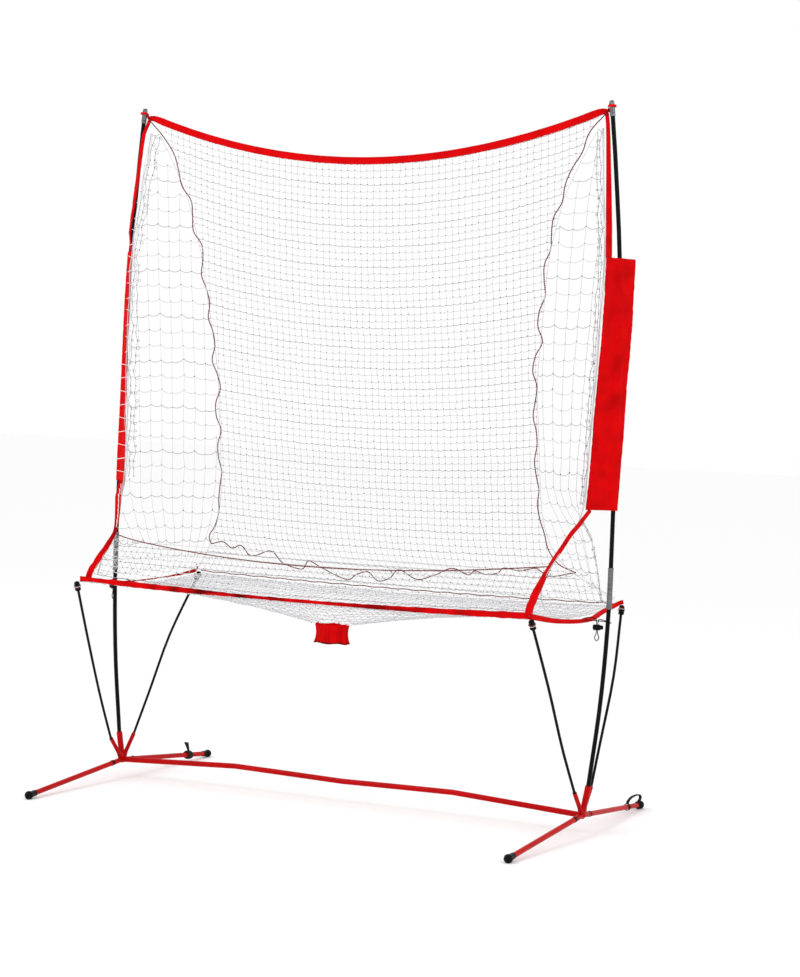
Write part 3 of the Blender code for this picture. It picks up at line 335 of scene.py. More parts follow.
def curve_through(knots_of_route, spacing):
    """Points about one spacing apart on a smooth curve through the route's points."""
    route = [Vector(k) for k in knots_of_route]
    spans = [(b - a).length for a, b in zip(route, route[1:])]
    chords = [(b - a) / h for a, b, h in zip(route, route[1:], spans)]
    slopes = [chords[0]]
    for i in range(1, len(route) - 1):
        before, after = spans[i - 1], spans[i]
        slopes.append((chords[i - 1] * after + chords[i] * before) / (before + after))
    slopes.append(chords[-1])
    path = []
    for i, h in enumerate(spans):
        steps = max(1, round(h / spacing))
        for j in range(steps):
            t = j / steps
            path.append((2 * t**3 - 3 * t**2 + 1) * route[i] + (t**3 - 2 * t**2 + t) * h * slopes[i]
                        + (3 * t**2 - 2 * t**3) * route[i + 1] + (t**3 - t**2) * h * slopes[i + 1])
    path.append(route[-1])
    return path


def distances(line):
    """How far along a line each of its points is."""
    return np.concatenate([[0.0], np.cumsum(np.linalg.norm(np.diff(line, axis=0), axis=1))])


def points_at(stations, along, line):
    """The points of a line at some distances along it."""
    return np.stack([np.interp(stations, along, line[:, k]) for k in range(3)], axis=-1)


def resampled(path, spacing):
    """The same line with its points one spacing apart."""
    line = np.array([tuple(p) for p in path])
    along = distances(line)
    count = max(2, round(along[-1] / spacing) + 1)
    return points_at(np.linspace(0, along[-1], count), along, line)


def twisted_lace(shape, path):
    """Two thin strands laid round each other along a path."""
    line = resampled(path, LACE_PITCH / LACE_STEPS)
    ahead = directions(line)
    least = np.eye(3)[np.argmin(np.abs(ahead.mean(0)))]
    across = np.cross(ahead, least)
    across /= np.linalg.norm(across, axis=1, keepdims=True)
    above = np.cross(ahead, across)
    turn = 2 * math.pi * np.arange(len(line)) / LACE_STEPS
    offset = (np.cos(turn)[:, None] * across + np.sin(turn)[:, None] * above) * LACE_RADIUS * 0.8
    tube(shape, line + offset, LACE_RADIUS, 5, 0)
    tube(shape, line - offset, LACE_RADIUS, 5, 1)


def band(shape, path, crosswise, width, thickness=STRAP_THICKNESS, across_steps=4, ripple=None,
         shade=None, hem=0.45):
    """A sewn strap: two cloth faces and round edges that are a little thicker.

    width may change along the path.  ripple(i, u) moves the cloth along its normal, with u from
    -1 to 1 across the width, and shade(i, u) darkens it as painted shade.  hem is how much thicker the
    edges are.
    Returns the middle line, the width directions and the normals.
    """
    path = np.array([tuple(p) for p in path])
    ahead = directions(path)
    side = np.array([tuple(c) for c in crosswise])
    side -= ahead * np.sum(side * ahead, axis=1, keepdims=True)
    side /= np.linalg.norm(side, axis=1, keepdims=True)
    normal = np.cross(ahead, side)
    widths = np.broadcast_to(np.asarray(width, float), (len(path),))
    across = np.linspace(-1, 1, across_steps + 1)
    size = 2 * (across_steps + 1)
    points, uvs, shades = [], [], []
    length = 0.0
    for i, spot in enumerate(path):
        if i:
            length += float(np.linalg.norm(path[i] - path[i - 1]))
        ring = []
        for sign, order in ((1, across), (-1, across[::-1])):
            for u in order:
                lift = ripple(i, u) if ripple else 0.0
                half = thickness / 2 * (1 + hem * (abs(u) > 0.72))
                reach = u - 0.04 * np.sign(u) * (abs(u) > 0.99)
                ring.append(spot + side[i] * (reach * widths[i] / 2) + normal[i] * (lift + sign * half))
                uvs.append((u * widths[i] / 2 + 0.05 * (sign < 0), length))
                shades.append(shade(i, u) if shade else 1.0)
        points += ring
    faces = []
    for i in range(len(path) - 1):
        low, high = i * size, (i + 1) * size
        for k in range(size):
            after = (k + 1) % size
            faces.append((low + k, low + after, high + after, high + k))
    faces.append(tuple(range(size))[::-1])
    faces.append(tuple(range((len(path) - 1) * size, len(path) * size)))
    shape.add(points, faces, 0, uvs, shades)
    return path, side, normal


def stitch_row(shape, line, normal, lift):
    """A row of separate stitches that lie on the cloth along a line."""
    line, normal = np.asarray(line), np.asarray(normal)
    along = distances(line)
    shares = np.array((0.0, 0.25, 0.75, 1.0))
    heights = lift + np.array((-0.4, 0.5, 0.5, -0.4)) * STITCH_RADIUS
    for k in range(int(along[-1] / STITCH_PITCH)):
        stations = k * STITCH_PITCH + shares * STITCH_LENGTH
        places = points_at(stations, along, line) + points_at(stations, along, normal) * heights[:, None]
        facing = points_at(k * STITCH_PITCH + STITCH_LENGTH / 2, along, normal)
        tube(shape, places, STITCH_RADIUS, 4, facing=facing, ends=False)


def edge_stitches(shape, laid, width, inset, thickness=STRAP_THICKNESS, ripple=None):
    """Stitch rows along both edges of a band, on both of its faces."""
    path, side, normal = laid
    widths = np.broadcast_to(np.asarray(width, float), (len(path),))
    for edge in (-1, 1):
        u = edge * (1 - inset)
        lift = np.array([ripple(i, u) if ripple else 0.0 for i in range(len(path))])
        line = path + side * (u * widths / 2)[:, None] + normal * lift[:, None]
        for face in (1, -1):
            stitch_row(shape, line, normal * face, thickness * 0.72)


def double_wall(rows, count, flipped=False):
    """Faces of a closed sleeve: rows of points round its outer wall, then round its inner one."""
    size = rows * count
    last = size - count
    faces = []
    for k in range(count):
        after = (k + 1) % count
        for i in range(0, last, count):
            wall = (i + k, i + after, i + count + after, i + count + k)
            faces += [wall, tuple(size + corner for corner in reversed(wall))]
        faces.append((after, k, size + k, size + after))
        faces.append((last + k, last + after, size + last + after, size + last + k))
    return [face[::-1] for face in faces] if flipped else faces


def wave(place, scale, seed):
    """Smooth noise from -1 to 1 at a place, with a size in metres."""
    return noise.noise(Vector(place) / scale + Vector((seed * 7.31, seed * 3.17, seed * 5.53)))


# ---------------------------------------------------------------- materials

def plain(name, colour, roughness, metallic=0.0):
    """A Principled material with constant values."""
    made = bpy.data.materials.new(name)
    made.use_nodes = True
    shader = made.node_tree.nodes["Principled BSDF"]
    shader.inputs["Base Color"].default_value = (*colour, 1.0)
    shader.inputs["Roughness"].default_value = roughness
    shader.inputs["Metallic"].default_value = metallic
    return made


def node(material, kind, **values):
    """A new shader node; values are sockets by name, with _ for a space."""
    made = material.node_tree.nodes.new(kind)
    for name, value in values.items():
        made.inputs[name.replace("_", " ")].default_value = value
    return made


def grain(material, source, scale, detail=3.0, stretch=(1.0, 1.0, 1.0)):
    """A noise over the object's or the weave's own coordinates."""
    links = material.node_tree.links
    places = node(material, "ShaderNodeTexCoord")
    turn = node(material, "ShaderNodeMapping", Scale=stretch)
    made = node(material, "ShaderNodeTexNoise", Scale=scale, Detail=detail)
    links.new(places.outputs[source], turn.inputs["Vector"])
    links.new(turn.outputs["Vector"], made.inputs["Vector"])
    return made.outputs["Fac"]


def shade_between(material, amount, dark, light, low=0.3, high=0.7):
    """A colour that goes from dark to light as the amount goes from low to high."""
    ramp = node(material, "ShaderNodeValToRGB")
    ramp.color_ramp.elements[0].position = low
    ramp.color_ramp.elements[1].position = high
    ramp.color_ramp.elements[0].color = (*dark, 1.0)
    ramp.color_ramp.elements[1].color = (*light, 1.0)
    material.node_tree.links.new(amount, ramp.inputs["Fac"])
    return ramp.outputs["Color"]


def bumped(material, height, strength, distance):
    """Let a height disturb the surface."""
    links = material.node_tree.links
    bump = node(material, "ShaderNodeBump", Strength=strength, Distance=distance)
    links.new(height, bump.inputs["Height"])
    links.new(bump.outputs["Normal"], material.node_tree.nodes["Principled BSDF"].inputs["Normal"])


def spread(material, amount, low, high):
    """A number that goes from low to high as the amount goes from 0 to 1."""
    ramp = node(material, "ShaderNodeMapRange", To_Min=low, To_Max=high)
    material.node_tree.links.new(amount, ramp.inputs["Value"])
    return ramp.outputs["Result"]


def grained(material, tones, ramp, roughness, relief, grains, specular):
    """Let a material's colour, roughness and relief each follow a grain over the object.

    tones are the dark and the light colour, ramp tells where the grain turns from one to the
    other, roughness is its least and most, and relief is a bump's strength and depth.
    """
    shader = material.node_tree.nodes["Principled BSDF"]
    shader.inputs["Specular IOR Level"].default_value = specular
    links = material.node_tree.links
    in_colour, in_roughness, in_relief = (grain(material, "Object", *settings) for settings in grains)
    links.new(shade_between(material, in_colour, *tones, *ramp), shader.inputs["Base Color"])
    links.new(spread(material, in_roughness, *roughness), shader.inputs["Roughness"])
    bumped(material, in_relief, *relief)
    return material


def red_paint():
    """Glossy sprayed enamel with a little orange peel."""
    made = plain("red_enamel", (0.46, 0.001, 0.002), 0.3)
    shader = made.node_tree.nodes["Principled BSDF"]
    shader.inputs["Coat Weight"].default_value = 0.04
    shader.inputs["Coat Roughness"].default_value = 0.08
    return grained(made, ((0.40, 0.001, 0.002), (0.52, 0.001, 0.002)), (0.3, 0.7), (0.24, 0.42),
                   (0.12, 0.0004), ((9.0,), (60.0,), (420.0, 1.0)), 0.05)


def fibreglass():
    """Black pultruded rod: fine lengthwise fibres under a satin skin."""
    fibres = (900.0, 2.0, (1.0, 1.0, 0.012))
    return grained(plain("fibreglass_rod", (0.006, 0.006, 0.007), 0.3),
                   ((0.0015, 0.0015, 0.002), (0.006, 0.006, 0.0065)), (0.35, 0.8), (0.22, 0.40),
                   (0.10, 0.0003), (fibres, fibres, fibres), 0.08)


def steel():
    """Turned and drawn steel with faint rings."""
    marks = (700.0, 2.0, (0.05, 0.05, 1.0))
    return grained(plain("drawn_steel", (0.18, 0.18, 0.19), 0.3, 1.0),
                   ((0.09, 0.09, 0.10), (0.26, 0.26, 0.27)), (0.3, 0.7), (0.22, 0.42),
                   (0.08, 0.0003), (marks, marks, marks), 0.5)


def plastic():
    """Moulded black plastic with a fine spark-eroded grain."""
    fine = (1500.0, 2.0)
    return grained(plain("moulded_plastic", (0.003, 0.003, 0.0035), 0.45),
                   ((0.0012, 0.0012, 0.0016), (0.0045, 0.0045, 0.005)), (0.3, 0.7), (0.36, 0.56),
                   (0.25, 0.0003), ((40.0,), fine, fine), 0.08)


def woven(name, dark, light, roughness=0.78, pitch=0.0011):
    """Woven cloth: crossing yarns from the weave's own coordinates, soft uneven dye, and painted shade
    from the shade attribute.
    """
    made = plain(name, light, roughness)
    shader = made.node_tree.nodes["Principled BSDF"]
    shader.inputs["Specular IOR Level"].default_value = 0.05
    links = made.node_tree.links
    places = node(made, "ShaderNodeTexCoord")
    weave = []
    for direction in ("X", "Y"):
        yarns = node(made, "ShaderNodeTexWave", Scale=0.314 / pitch, Distortion=0.6, Detail=1.0)
        yarns.bands_direction = direction
        links.new(places.outputs["UV"], yarns.inputs["Vector"])
        weave.append(yarns.outputs["Fac"])
    crossing = node(made, "ShaderNodeMath")
    crossing.operation = "MULTIPLY"
    links.new(weave[0], crossing.inputs[0])
    links.new(weave[1], crossing.inputs[1])
    tone = shade_between(made, grain(made, "Object", 26.0, 5.0), dark, light, 0.25, 0.68)
    # The shade attribute multiplies the colour: painted shade in folds, creases and turned-away cloth.
    shade = node(made, "ShaderNodeAttribute")
    shade.attribute_name = "shade"
    mixed = node(made, "ShaderNodeMixRGB", Fac=1.0)
    mixed.blend_type = "MULTIPLY"
    links.new(tone, mixed.inputs["Color1"])
    links.new(shade.outputs["Fac"], mixed.inputs["Color2"])
    links.new(mixed.outputs["Color"], shader.inputs["Base Color"])
    links.new(spread(made, crossing.outputs["Value"], roughness + 0.1, roughness - 0.1),
              shader.inputs["Roughness"])
    bumped(made, crossing.outputs["Value"], 0.45, 0.0005)
    return made


FINISHES = {
    "red_paint": red_paint(),
    "black_fibreglass": fibreglass(),
    "steel": steel(),
    "black_plastic": plastic(),
    "red_fabric": woven("red_oxford_cloth", (0.55, 0.001, 0.002), (0.72, 0.001, 0.002)),
    "black_webbing": woven("black_webbing_weave", (0.010, 0.010, 0.011), (0.030, 0.030, 0.031),
                           0.8, 0.0014),
    "black_elastic": woven("black_elastic_braid", (0.010, 0.010, 0.011), (0.032, 0.031, 0.032), 0.7),
}
THREAD = plain("red_thread", (0.30, 0.002, 0.005), 0.7)
WHITE_STRAND = plain("white_strand", (0.66, 0.66, 0.68), 0.75)
# The net is white twine: the grey strand and both knot colours are painted shade, darker copies of the
# white strand.
SHADED_WHITE_STRAND = plain("shaded_white_strand", (0.42, 0.42, 0.44), 0.75)
DEEP_SHADED_KNOT = plain("deep_shaded_knot", (0.07, 0.07, 0.08), 0.8)
LIGHT_SHADED_KNOT = plain("light_shaded_knot", (0.36, 0.36, 0.38), 0.8)
WHITE_THREAD = plain("white_thread", (0.85, 0.85, 0.85), 0.75)
RED_LACE = plain("dark_red_lace", (0.30, 0.008, 0.010), 0.7)
BLACK_LACE = plain("black_lace", (0.020, 0.008, 0.009), 0.7)
NET_LOOKS = (WHITE_STRAND, SHADED_WHITE_STRAND, DEEP_SHADED_KNOT, LIGHT_SHADED_KNOT)
# Marks: white strand, strand with painted shade, knot with deep painted shade, knot with light painted
# shade.
STRAND, SHADED, KNOT, SOFT_KNOT = range(4)


# ---------------------------------------------------------------- kept parts

def smooth_rounds():
    """A node group that joins split corners and shades round faces smoothly."""
    group = bpy.data.node_groups.new("smooth_rounds", "GeometryNodeTree")
    group.interface.new_socket("Geometry", in_out="INPUT", socket_type="NodeSocketGeometry")
    group.interface.new_socket("Geometry", in_out="OUTPUT", socket_type="NodeSocketGeometry")
    nodes, links = group.nodes, group.links
    given, result = nodes.new("NodeGroupInput"), nodes.new("NodeGroupOutput")
    weld = nodes.new("GeometryNodeMergeByDistance")
    weld.inputs["Distance"].default_value = 0.00001
    faces = nodes.new("GeometryNodeSetShadeSmooth")
    faces.domain = "FACE"
    creases = nodes.new("GeometryNodeSetShadeSmooth")
    creases.domain = "EDGE"
    creases.inputs["Shade Smooth"].default_value = False
    angle = nodes.new("GeometryNodeInputMeshEdgeAngle")
    wide = nodes.new("FunctionNodeCompare")
    wide.data_type = "FLOAT"
    wide.operation = "GREATER_THAN"
    wide.inputs[1].default_value = math.radians(35)
    links.new(given.outputs[0], weld.inputs["Geometry"])
    links.new(weld.outputs["Geometry"], faces.inputs["Geometry"])
    links.new(faces.outputs["Geometry"], creases.inputs["Geometry"])
    links.new(angle.outputs["Unsigned Angle"], wide.inputs[0])
    links.new(wide.outputs["Result"], creases.inputs["Selection"])
    links.new(creases.outputs["Geometry"], result.inputs[0])
    return group


def finish_kept_parts():
    """Give the rigid parts their finishes and smooth their round faces."""
    group = smooth_rounds()
    for part in frame["record"]["subparts"]:
        kept = frame["nodes"][part["node"]]
        normals = kept.data.attributes.get("custom_normal")
        if normals:
            kept.data.attributes.remove(normals)
        kept.modifiers.new("smooth_rounds", "NODES").node_group = group
        if part["material_slot"] in FINISHES:
            kept.material_slots[0].material = FINISHES[part["material_slot"]]


# ---------------------------------------------------------------- nets

def section(name, axis, value, towards=UP):
    """Middle and long direction of a part's section across one axis."""
    points = crossings(name, axis, value)
    centre = points.mean(0)
    spread_out = points - centre
    along = np.linalg.svd(spread_out, full_matrices=False)[2][0]
    along *= 1.0 if along @ np.array(tuple(towards)) >= 0 else -1.0
    reach = spread_out @ along
    centre = centre + along * (reach.max() + reach.min()) / 2
    return Vector(centre), Vector(along)


def strip(name, axis, low, high, count, towards=UP):
    """Middle line and width directions of a band, between two values of one axis."""
    cuts = [section(name, axis, value, towards) for value in np.linspace(low, high, count)]
    path = np.array([tuple(centre) for centre, _ in cuts])
    return softened(path, 3), [tuple(direction) for _, direction in cuts]


def softened(path, passes):
    """The path with its corners rounded; its ends stay."""
    path = np.array(path, float)
    for _ in range(passes):
        path[1:-1] = path[:-2] * 0.25 + path[1:-1] * 0.5 + path[2:] * 0.25
    return path


def arched(points, droop, wobble, draw, steps=2):
    """A strand through its knots; each span hangs in a small arc of some steps."""
    points = np.asarray(points, float)
    path = [points[0]]
    for start, stop in zip(points, points[1:]):
        lean = np.asarray(droop) + draw.normal(0, wobble, 3)
        for k in range(1, steps):
            t = k / steps
            path.append(start + (stop - start) * t + lean * (4 * t * (1 - t)))
        path.append(stop)
    return np.array(path)


def runs(present):
    """The unbroken stretches of True, as slices of at least two."""
    marks = np.flatnonzero(np.diff(np.concatenate([[0], present.astype(int), [0]])))
    return [slice(a, b) for a, b in zip(marks[::2], marks[1::2]) if b - a >= 2]


def lay_net(shape, grid, present, ends, strand, knot, seed, droop, dark_share=0.6, steps=2):
    """Strands along the rows and columns of a grid of knots.

    present tells which knots exist, ends gives each row's two points on the net's border, and
    dark_share is the share of knots drawn with deep painted shade; the others get light painted shade.
    """
    draw = np.random.default_rng(seed)
    grid = grid + draw.normal(0, NET_WOBBLE * 0.5, grid.shape)
    for i, row in enumerate(grid):
        kept = row[present[i]]
        if ends is not None:
            kept = np.concatenate([[ends[i][0]], kept, [ends[i][1]]])
        if len(kept) > 1:
            path = arched(kept, (0, 0, -droop), strand * 0.5, draw, steps)
            # Every third row is drawn in the strand colour with painted shade.
            tube(shape, path, strand, 4, STRAND if i % 3 else SHADED, facing=UP, ends=False)
    for j in range(grid.shape[1]):
        for stretch in runs(present[:, j]):
            path = arched(grid[stretch, j], (0, 0, 0), strand * 0.6, draw, steps)
            tube(shape, path, strand * 0.8, 4, STRAND, facing=(0, 1, 0), ends=False)
    # Knots get painted shade: a share deep, the rest light.
    places = grid[present]
    dark = draw.random(len(places)) < dark_share
    knots(shape, places[dark], knot, KNOT, seed + 1)
    knots(shape, places[~dark], knot, SOFT_KNOT, seed + 2)


def back_net_frame(count):
    """Right edge points and the middle points at the same shares of the way down."""
    cut = crossings("back_net", 0, 0.0)
    top, bottom = cut[:, 2].max(), cut[:, 2].min()
    rim_low, rim_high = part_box("side_net_right")
    high, low = rim_high.z - 0.004, rim_low.z + 0.003
    edges, middles = [], []
    for share in np.linspace(0, 1, count):
        z = high + (low - high) * share
        edge = net_edges("right", z)[1]
        sag = (high - top) * (1 - share) ** 1.2 + (low - bottom - 0.002) * share
        level = min(max(z - sag, bottom + 0.001), top - 0.001)
        near = cut[np.argsort(np.abs(cut[:, 2] - level))[:4]]
        edges.append(np.array((edge.x, edge.y, z)))
        middles.append((float(near[:, 1].mean()), level))
    return softened(edges, 4), softened(middles, 4)


def strap_gap(x, z):
    """How far the net's first row at x must rise from z to be tucked behind the top strap."""
    return float(crossings("top_strap", 0, x)[:, 2].min()) + 0.003 - z


def make_back_net():
    """The fine net under the top strap; returns the points of its right edge."""
    shape = Shape()
    edges, middles = back_net_frame(BACK_NET_ROWS)
    edges[:, 2] += strap_gap(edges[0, 0], edges[0, 2]) * np.exp((edges[:, 2] - edges[0, 2]) / 0.2)
    columns = np.arange(-HALF_COLUMNS, HALF_COLUMNS + 1) * FINE_MESH
    u = columns[None, :] / edges[:, 0:1]
    present = np.abs(u) < 1 - 0.004 / edges[:, 0:1]
    grid = np.stack([np.broadcast_to(columns, u.shape),
                     middles[:, 0:1] + (edges[:, 1:2] - middles[:, 0:1]) * u * u,
                     middles[:, 1:2] + (edges[:, 2:3] - middles[:, 1:2]) * u * u], axis=2)
    for j, x in enumerate(columns):
        if present[0, j]:
            height = grid[:, j, 2].copy()
            grid[:, j, 2] += strap_gap(x, height[0]) * np.exp((height - height[0]) / 0.2)
    ends = [((-e[0], e[1], e[2]), (e[0], e[1], e[2])) for e in edges]
    lay_net(shape, grid, present, ends, FINE_STRAND, FINE_KNOT, 11, droop=0.0026, dark_share=0.7)
    make_piece("back_netting", shape, NET_LOOKS, replaces=["back_net"])
    return edges


def strap_shift(side_name, z):
    """How far the front strap's cloth hangs from its plain place: only the left one is pulled back."""
    if side_name == "right":
        return np.zeros(3)
    return np.array((np.interp(z, HANG_HEIGHTS, HANG_ASIDE), np.interp(z, HANG_HEIGHTS, HANG_BACK), 0.0))


def folded_row(side_name, z):
    """The front edge, the fold and the rear edge of a side net at a height.

    Beside the front strap the front edge follows the strap.  The left net folds at a share of
    its width, and the right one where it is furthest from the straight line between its edges.
    """
    points = crossings(f"side_net_{side_name}", 2, z)
    points = points[np.argsort(points[:, 1])]
    front, rear = points[0], points[-1]
    low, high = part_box(f"front_strap_{side_name}")
    if low.z + 0.004 < z < high.z - 0.012:
        front = crossings(f"front_strap_{side_name}", 2, z).mean(0) + (0, 0.009, 0)
        front += strap_shift(side_name, z)
    if side_name == "left":
        width = np.linalg.norm(front - rear)
        return front, rear + (front - rear) * min(1 - FOLD_SHARE, LEFT_REAR_WIDTH / width), rear
    along = (rear - front) / np.linalg.norm(rear - front)
    off = points - front
    off = np.linalg.norm(off - np.outer(off @ along, along), axis=1)
    if off.max() < 0.006:
        return front, front + (rear - front) * FOLD_SHARE, rear
    return front, points[off.argmax()], rear


def small_ring(shape, centre, wide, tall, radius, mark):
    """A small closed loop of strand round a centre."""
    turns = np.linspace(0, 2 * math.pi, 11)
    path = (np.asarray(centre) + np.cos(turns)[:, None] * np.asarray(wide)
            + np.sin(turns)[:, None] * np.asarray(tall))
    tube(shape, path, radius, 4, mark, ends=False)


def bunched_edge(shape, side_name, seed):
    """Two lines of small loops and knots where the net is gathered beside the binding."""
    draw = np.random.default_rng(seed)
    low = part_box(f"front_strap_{side_name}")[1].z
    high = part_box(f"side_binding_{side_name}")[1].z - 0.03
    for offset in BUNCH_LINES:
        line = []
        for z in np.arange(high, low, -COARSE_MESH / 2):
            front, rear = (np.array(tuple(p)) for p in net_edges(side_name, z))
            inward = (rear - front) / np.linalg.norm(rear - front)
            line.append(front + inward * (offset + draw.normal(0, 0.0025)))
            if draw.random() < 0.6:
                size = draw.uniform(0.003, 0.0055)
                small_ring(shape, line[-1] + inward * size * 0.7, inward * size, (0, 0, size * 0.8),
                           COARSE_STRAND * 0.8, SHADED)
            # Knots get deep or light painted shade at random.
            mark = KNOT if draw.random() < 0.6 else SOFT_KNOT
            knots(shape, line[-1:], COARSE_KNOT, mark, seed + len(line))
        tube(shape, curve_through(line, 0.008), COARSE_STRAND, 4, SHADED, ends=False)


def make_side_net(side_name, side):
    """The coarse net between the binding, the front strap and the back net's edge."""
    shape = Shape()
    low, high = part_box(f"side_net_{side_name}")
    levels = np.arange(high.z - 0.004, low.z + 0.004, -COARSE_MESH)
    stations = [folded_row(side_name, z) for z in levels]
    front, fold, rear = (softened([s[k] for s in stations], 1) for k in range(3))
    ahead, behind = np.linalg.norm(front - fold, axis=1), np.linalg.norm(rear - fold, axis=1)
    steps = np.arange(-12, 18) * COARSE_MESH_WIDE[side_name]
    before = np.clip(-steps[None, :] / ahead[:, None], 0, 1)[:, :, None]
    after = np.clip(steps[None, :] / behind[:, None], 0, 1)[:, :, None]
    grid = (fold[:, None, :] + (front - fold)[:, None, :] * before + (rear - fold)[:, None, :] * after)
    draw = np.random.default_rng(27 + side)
    grid[:, :, 2] += (0.0045 * np.sin(np.arange(len(steps)) * 2.3)[None, :]
                      + draw.normal(0, 0.0016, grid.shape[:2]))
    present = (-steps[None, :] < ahead[:, None] - 0.012) & (steps[None, :] < behind[:, None] - 0.012)
    lay_net(shape, grid, present, list(zip(front, rear)), COARSE_STRAND, COARSE_KNOT, 21 + side,
            droop=0.006, dark_share=0.25, steps=4)
    bunched_edge(shape, side_name, 25 + side)
    if side > 0:
        # The spare width under the right panel is gathered into a loose rope of strands.
        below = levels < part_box("wing_panel_right")[0].z
        gathered = resampled(np.concatenate([front[below][:1], fold[below]]), 0.014)
        # The middle strand is drawn in the strand colour with painted shade.
        for offset in (0.0, 0.004, -0.004):
            line = [p + draw.normal(0, 0.0016, 3) + (0, offset, 0) for p in gathered]
            tube(shape, line, COARSE_STRAND, 4, STRAND if offset else SHADED, ends=False)
            knots(shape, line[::2], COARSE_KNOT, KNOT if offset > 0 else SOFT_KNOT, 29)
    inward = (rear - front) / np.linalg.norm(rear - front, axis=1, keepdims=True)
    # The middle border strand is drawn in the strand colour with painted shade.
    for offset, seed in ((0.000, 3), (0.004, 5), (-0.003, 8)):
        border = [f + r * (offset + 0.004 * wave(f, 0.06, seed)) for f, r in zip(front, inward)]
        tube(shape, curve_through(border, 0.012), COARSE_STRAND, 5, STRAND if offset else SHADED)
    tube(shape, curve_through(rear, 0.012), COARSE_STRAND, 5, STRAND)
    make_piece(f"side_netting_{side_name}", shape, NET_LOOKS,
               replaces=[f"side_net_{side_name}"])


def tray_height():
    """A function that gives the catch tray's middle height at a place, or None outside it."""
    mesh = frame["nodes"]["tray_net"].data
    tree = BVHTree.FromPolygons([v.co for v in mesh.vertices], [p.vertices for p in mesh.polygons])

    def height(x, y):
        above = tree.ray_cast(Vector((x, y, 1.0)), -UP)[0]
        below = tree.ray_cast(Vector((x, y, 0.2)), UP)[0]
        return None if above is None or below is None else (above.z + below.z) / 2

    return height


def make_tray_net():
    """The catch tray: a fine square net that draws together at the chute."""
    shape = Shape()
    height = tray_height()
    low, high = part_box("tray_net")
    mouth_low, mouth_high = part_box("chute_sleeve")
    centre = (mouth_low + mouth_high) / 2
    half = (mouth_high - mouth_low) / 2
    xs = np.arange(-HALF_COLUMNS, HALF_COLUMNS + 1) * TRAY_MESH
    ys = np.linspace(low.y + 0.004, high.y - 0.004, TRAY_ROWS)
    grid = np.zeros((len(ys), len(xs), 3))
    present = np.zeros((len(ys), len(xs)), bool)
    for i, y in enumerate(ys):
        for j, x in enumerate(xs):
            away = Vector((x - centre.x, y - centre.y))
            pull = 1 - 0.42 * math.exp(-(away.length / 0.14) ** 2)
            spot = away * pull
            place_x, place_y = centre.x + spot.x, centre.y + spot.y
            z = height(place_x, place_y)
            inside = (spot.x / (half.x + 0.006)) ** 2 + (spot.y / (half.y + 0.006)) ** 2 < 1
            if z is not None and not inside:
                grid[i, j] = (place_x, place_y, z)
                present[i, j] = True
    draw = np.random.default_rng(31)
    grid += draw.normal(0, NET_WOBBLE * 0.5, grid.shape)
    for lines, shown in ((grid, present), (grid.transpose(1, 0, 2), present.T)):
        for line, there in zip(lines, shown):
            for stretch in runs(there):
                path = arched(line[stretch], (0, 0, 0), FINE_STRAND * 0.5, draw)
                tube(shape, path, FINE_STRAND * 0.9, 4, STRAND, facing=UP, ends=False)
    places = grid[present]
    # Knots get painted shade: a fifth deep, the rest light.
    dark = draw.random(len(places)) < 0.2
    knots(shape, places[dark], FINE_KNOT, KNOT, 32)
    knots(shape, places[~dark], FINE_KNOT, SOFT_KNOT, 33)
    make_piece("tray_netting", shape, NET_LOOKS, replaces=["tray_net"])


def drawn_to_straps(points):
    """The guard net's points, with both ends of the net drawn back to the front straps."""
    moved = np.array(points, float)
    for place in moved.reshape(-1, 3):
        share = max(0.0, (abs(place[0]) - GUARD_STRAIGHT) / GUARD_LEANING) ** 2
        if share > 0:
            side_name = "right" if place[0] > 0 else "left"
            low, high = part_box(f"front_strap_{side_name}")
            level = min(max(place[2], low.z + 0.004), high.z - 0.012)
            strap = crossings(f"front_strap_{side_name}", 2, level).mean(0)
            strap += strap_shift(side_name, level)
            place[0] += (strap[0] - math.copysign(GUARD_END, place[0])) * share
            place[1] += (strap[1] + 0.007 - place[1]) * share
    return moved


def make_guard_net():
    """The low net that stands on the front lip; returns its upper edge."""
    shape = Shape()
    low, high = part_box("front_guard_net")
    xs = np.linspace(low.x + 0.001, high.x - 0.001, GUARD_COLUMNS)
    bottoms, tops = [], []
    for x in xs:
        cut = crossings("front_guard_net", 0, x)
        order = np.argsort(cut[:, 2])
        bottoms.append(cut[order[:2]].mean(0))
        tops.append(cut[order[-2:]].mean(0))
    bottoms, tops = np.array(bottoms), softened(tops, 4)
    lengths = np.linalg.norm(tops - bottoms, axis=1)
    share = np.arange(GUARD_ROWS)[:, None] * FINE_MESH / lengths[None, :]
    present = share < 1 - 0.004 / lengths[None, :]
    lean = 0.006 * np.minimum(share, 1) * np.sign(xs)[None, :]
    grid = bottoms[None] + (tops - bottoms)[None] * np.minimum(share, 1)[:, :, None]
    grid[:, :, 0] -= lean
    grid, tops = drawn_to_straps(grid), drawn_to_straps(tops)
    lay_net(shape, grid, present, None, FINE_STRAND, FINE_KNOT, 41, droop=0.0008)
    for j, top in enumerate(tops):
        last = grid[present[:, j], j][-1]
        tube(shape, [last, top], FINE_STRAND, 4, STRAND, facing=(0, 1, 0), ends=False)
    make_piece("guard_netting", shape, NET_LOOKS, replaces=["front_guard_net"])
    return tops


# ---------------------------------------------------------------- straps and sleeves

def mirrored(points, side):
    """Points of the right side, taken to a side."""
    return [(x * side, y, z) for x, y, z in points]


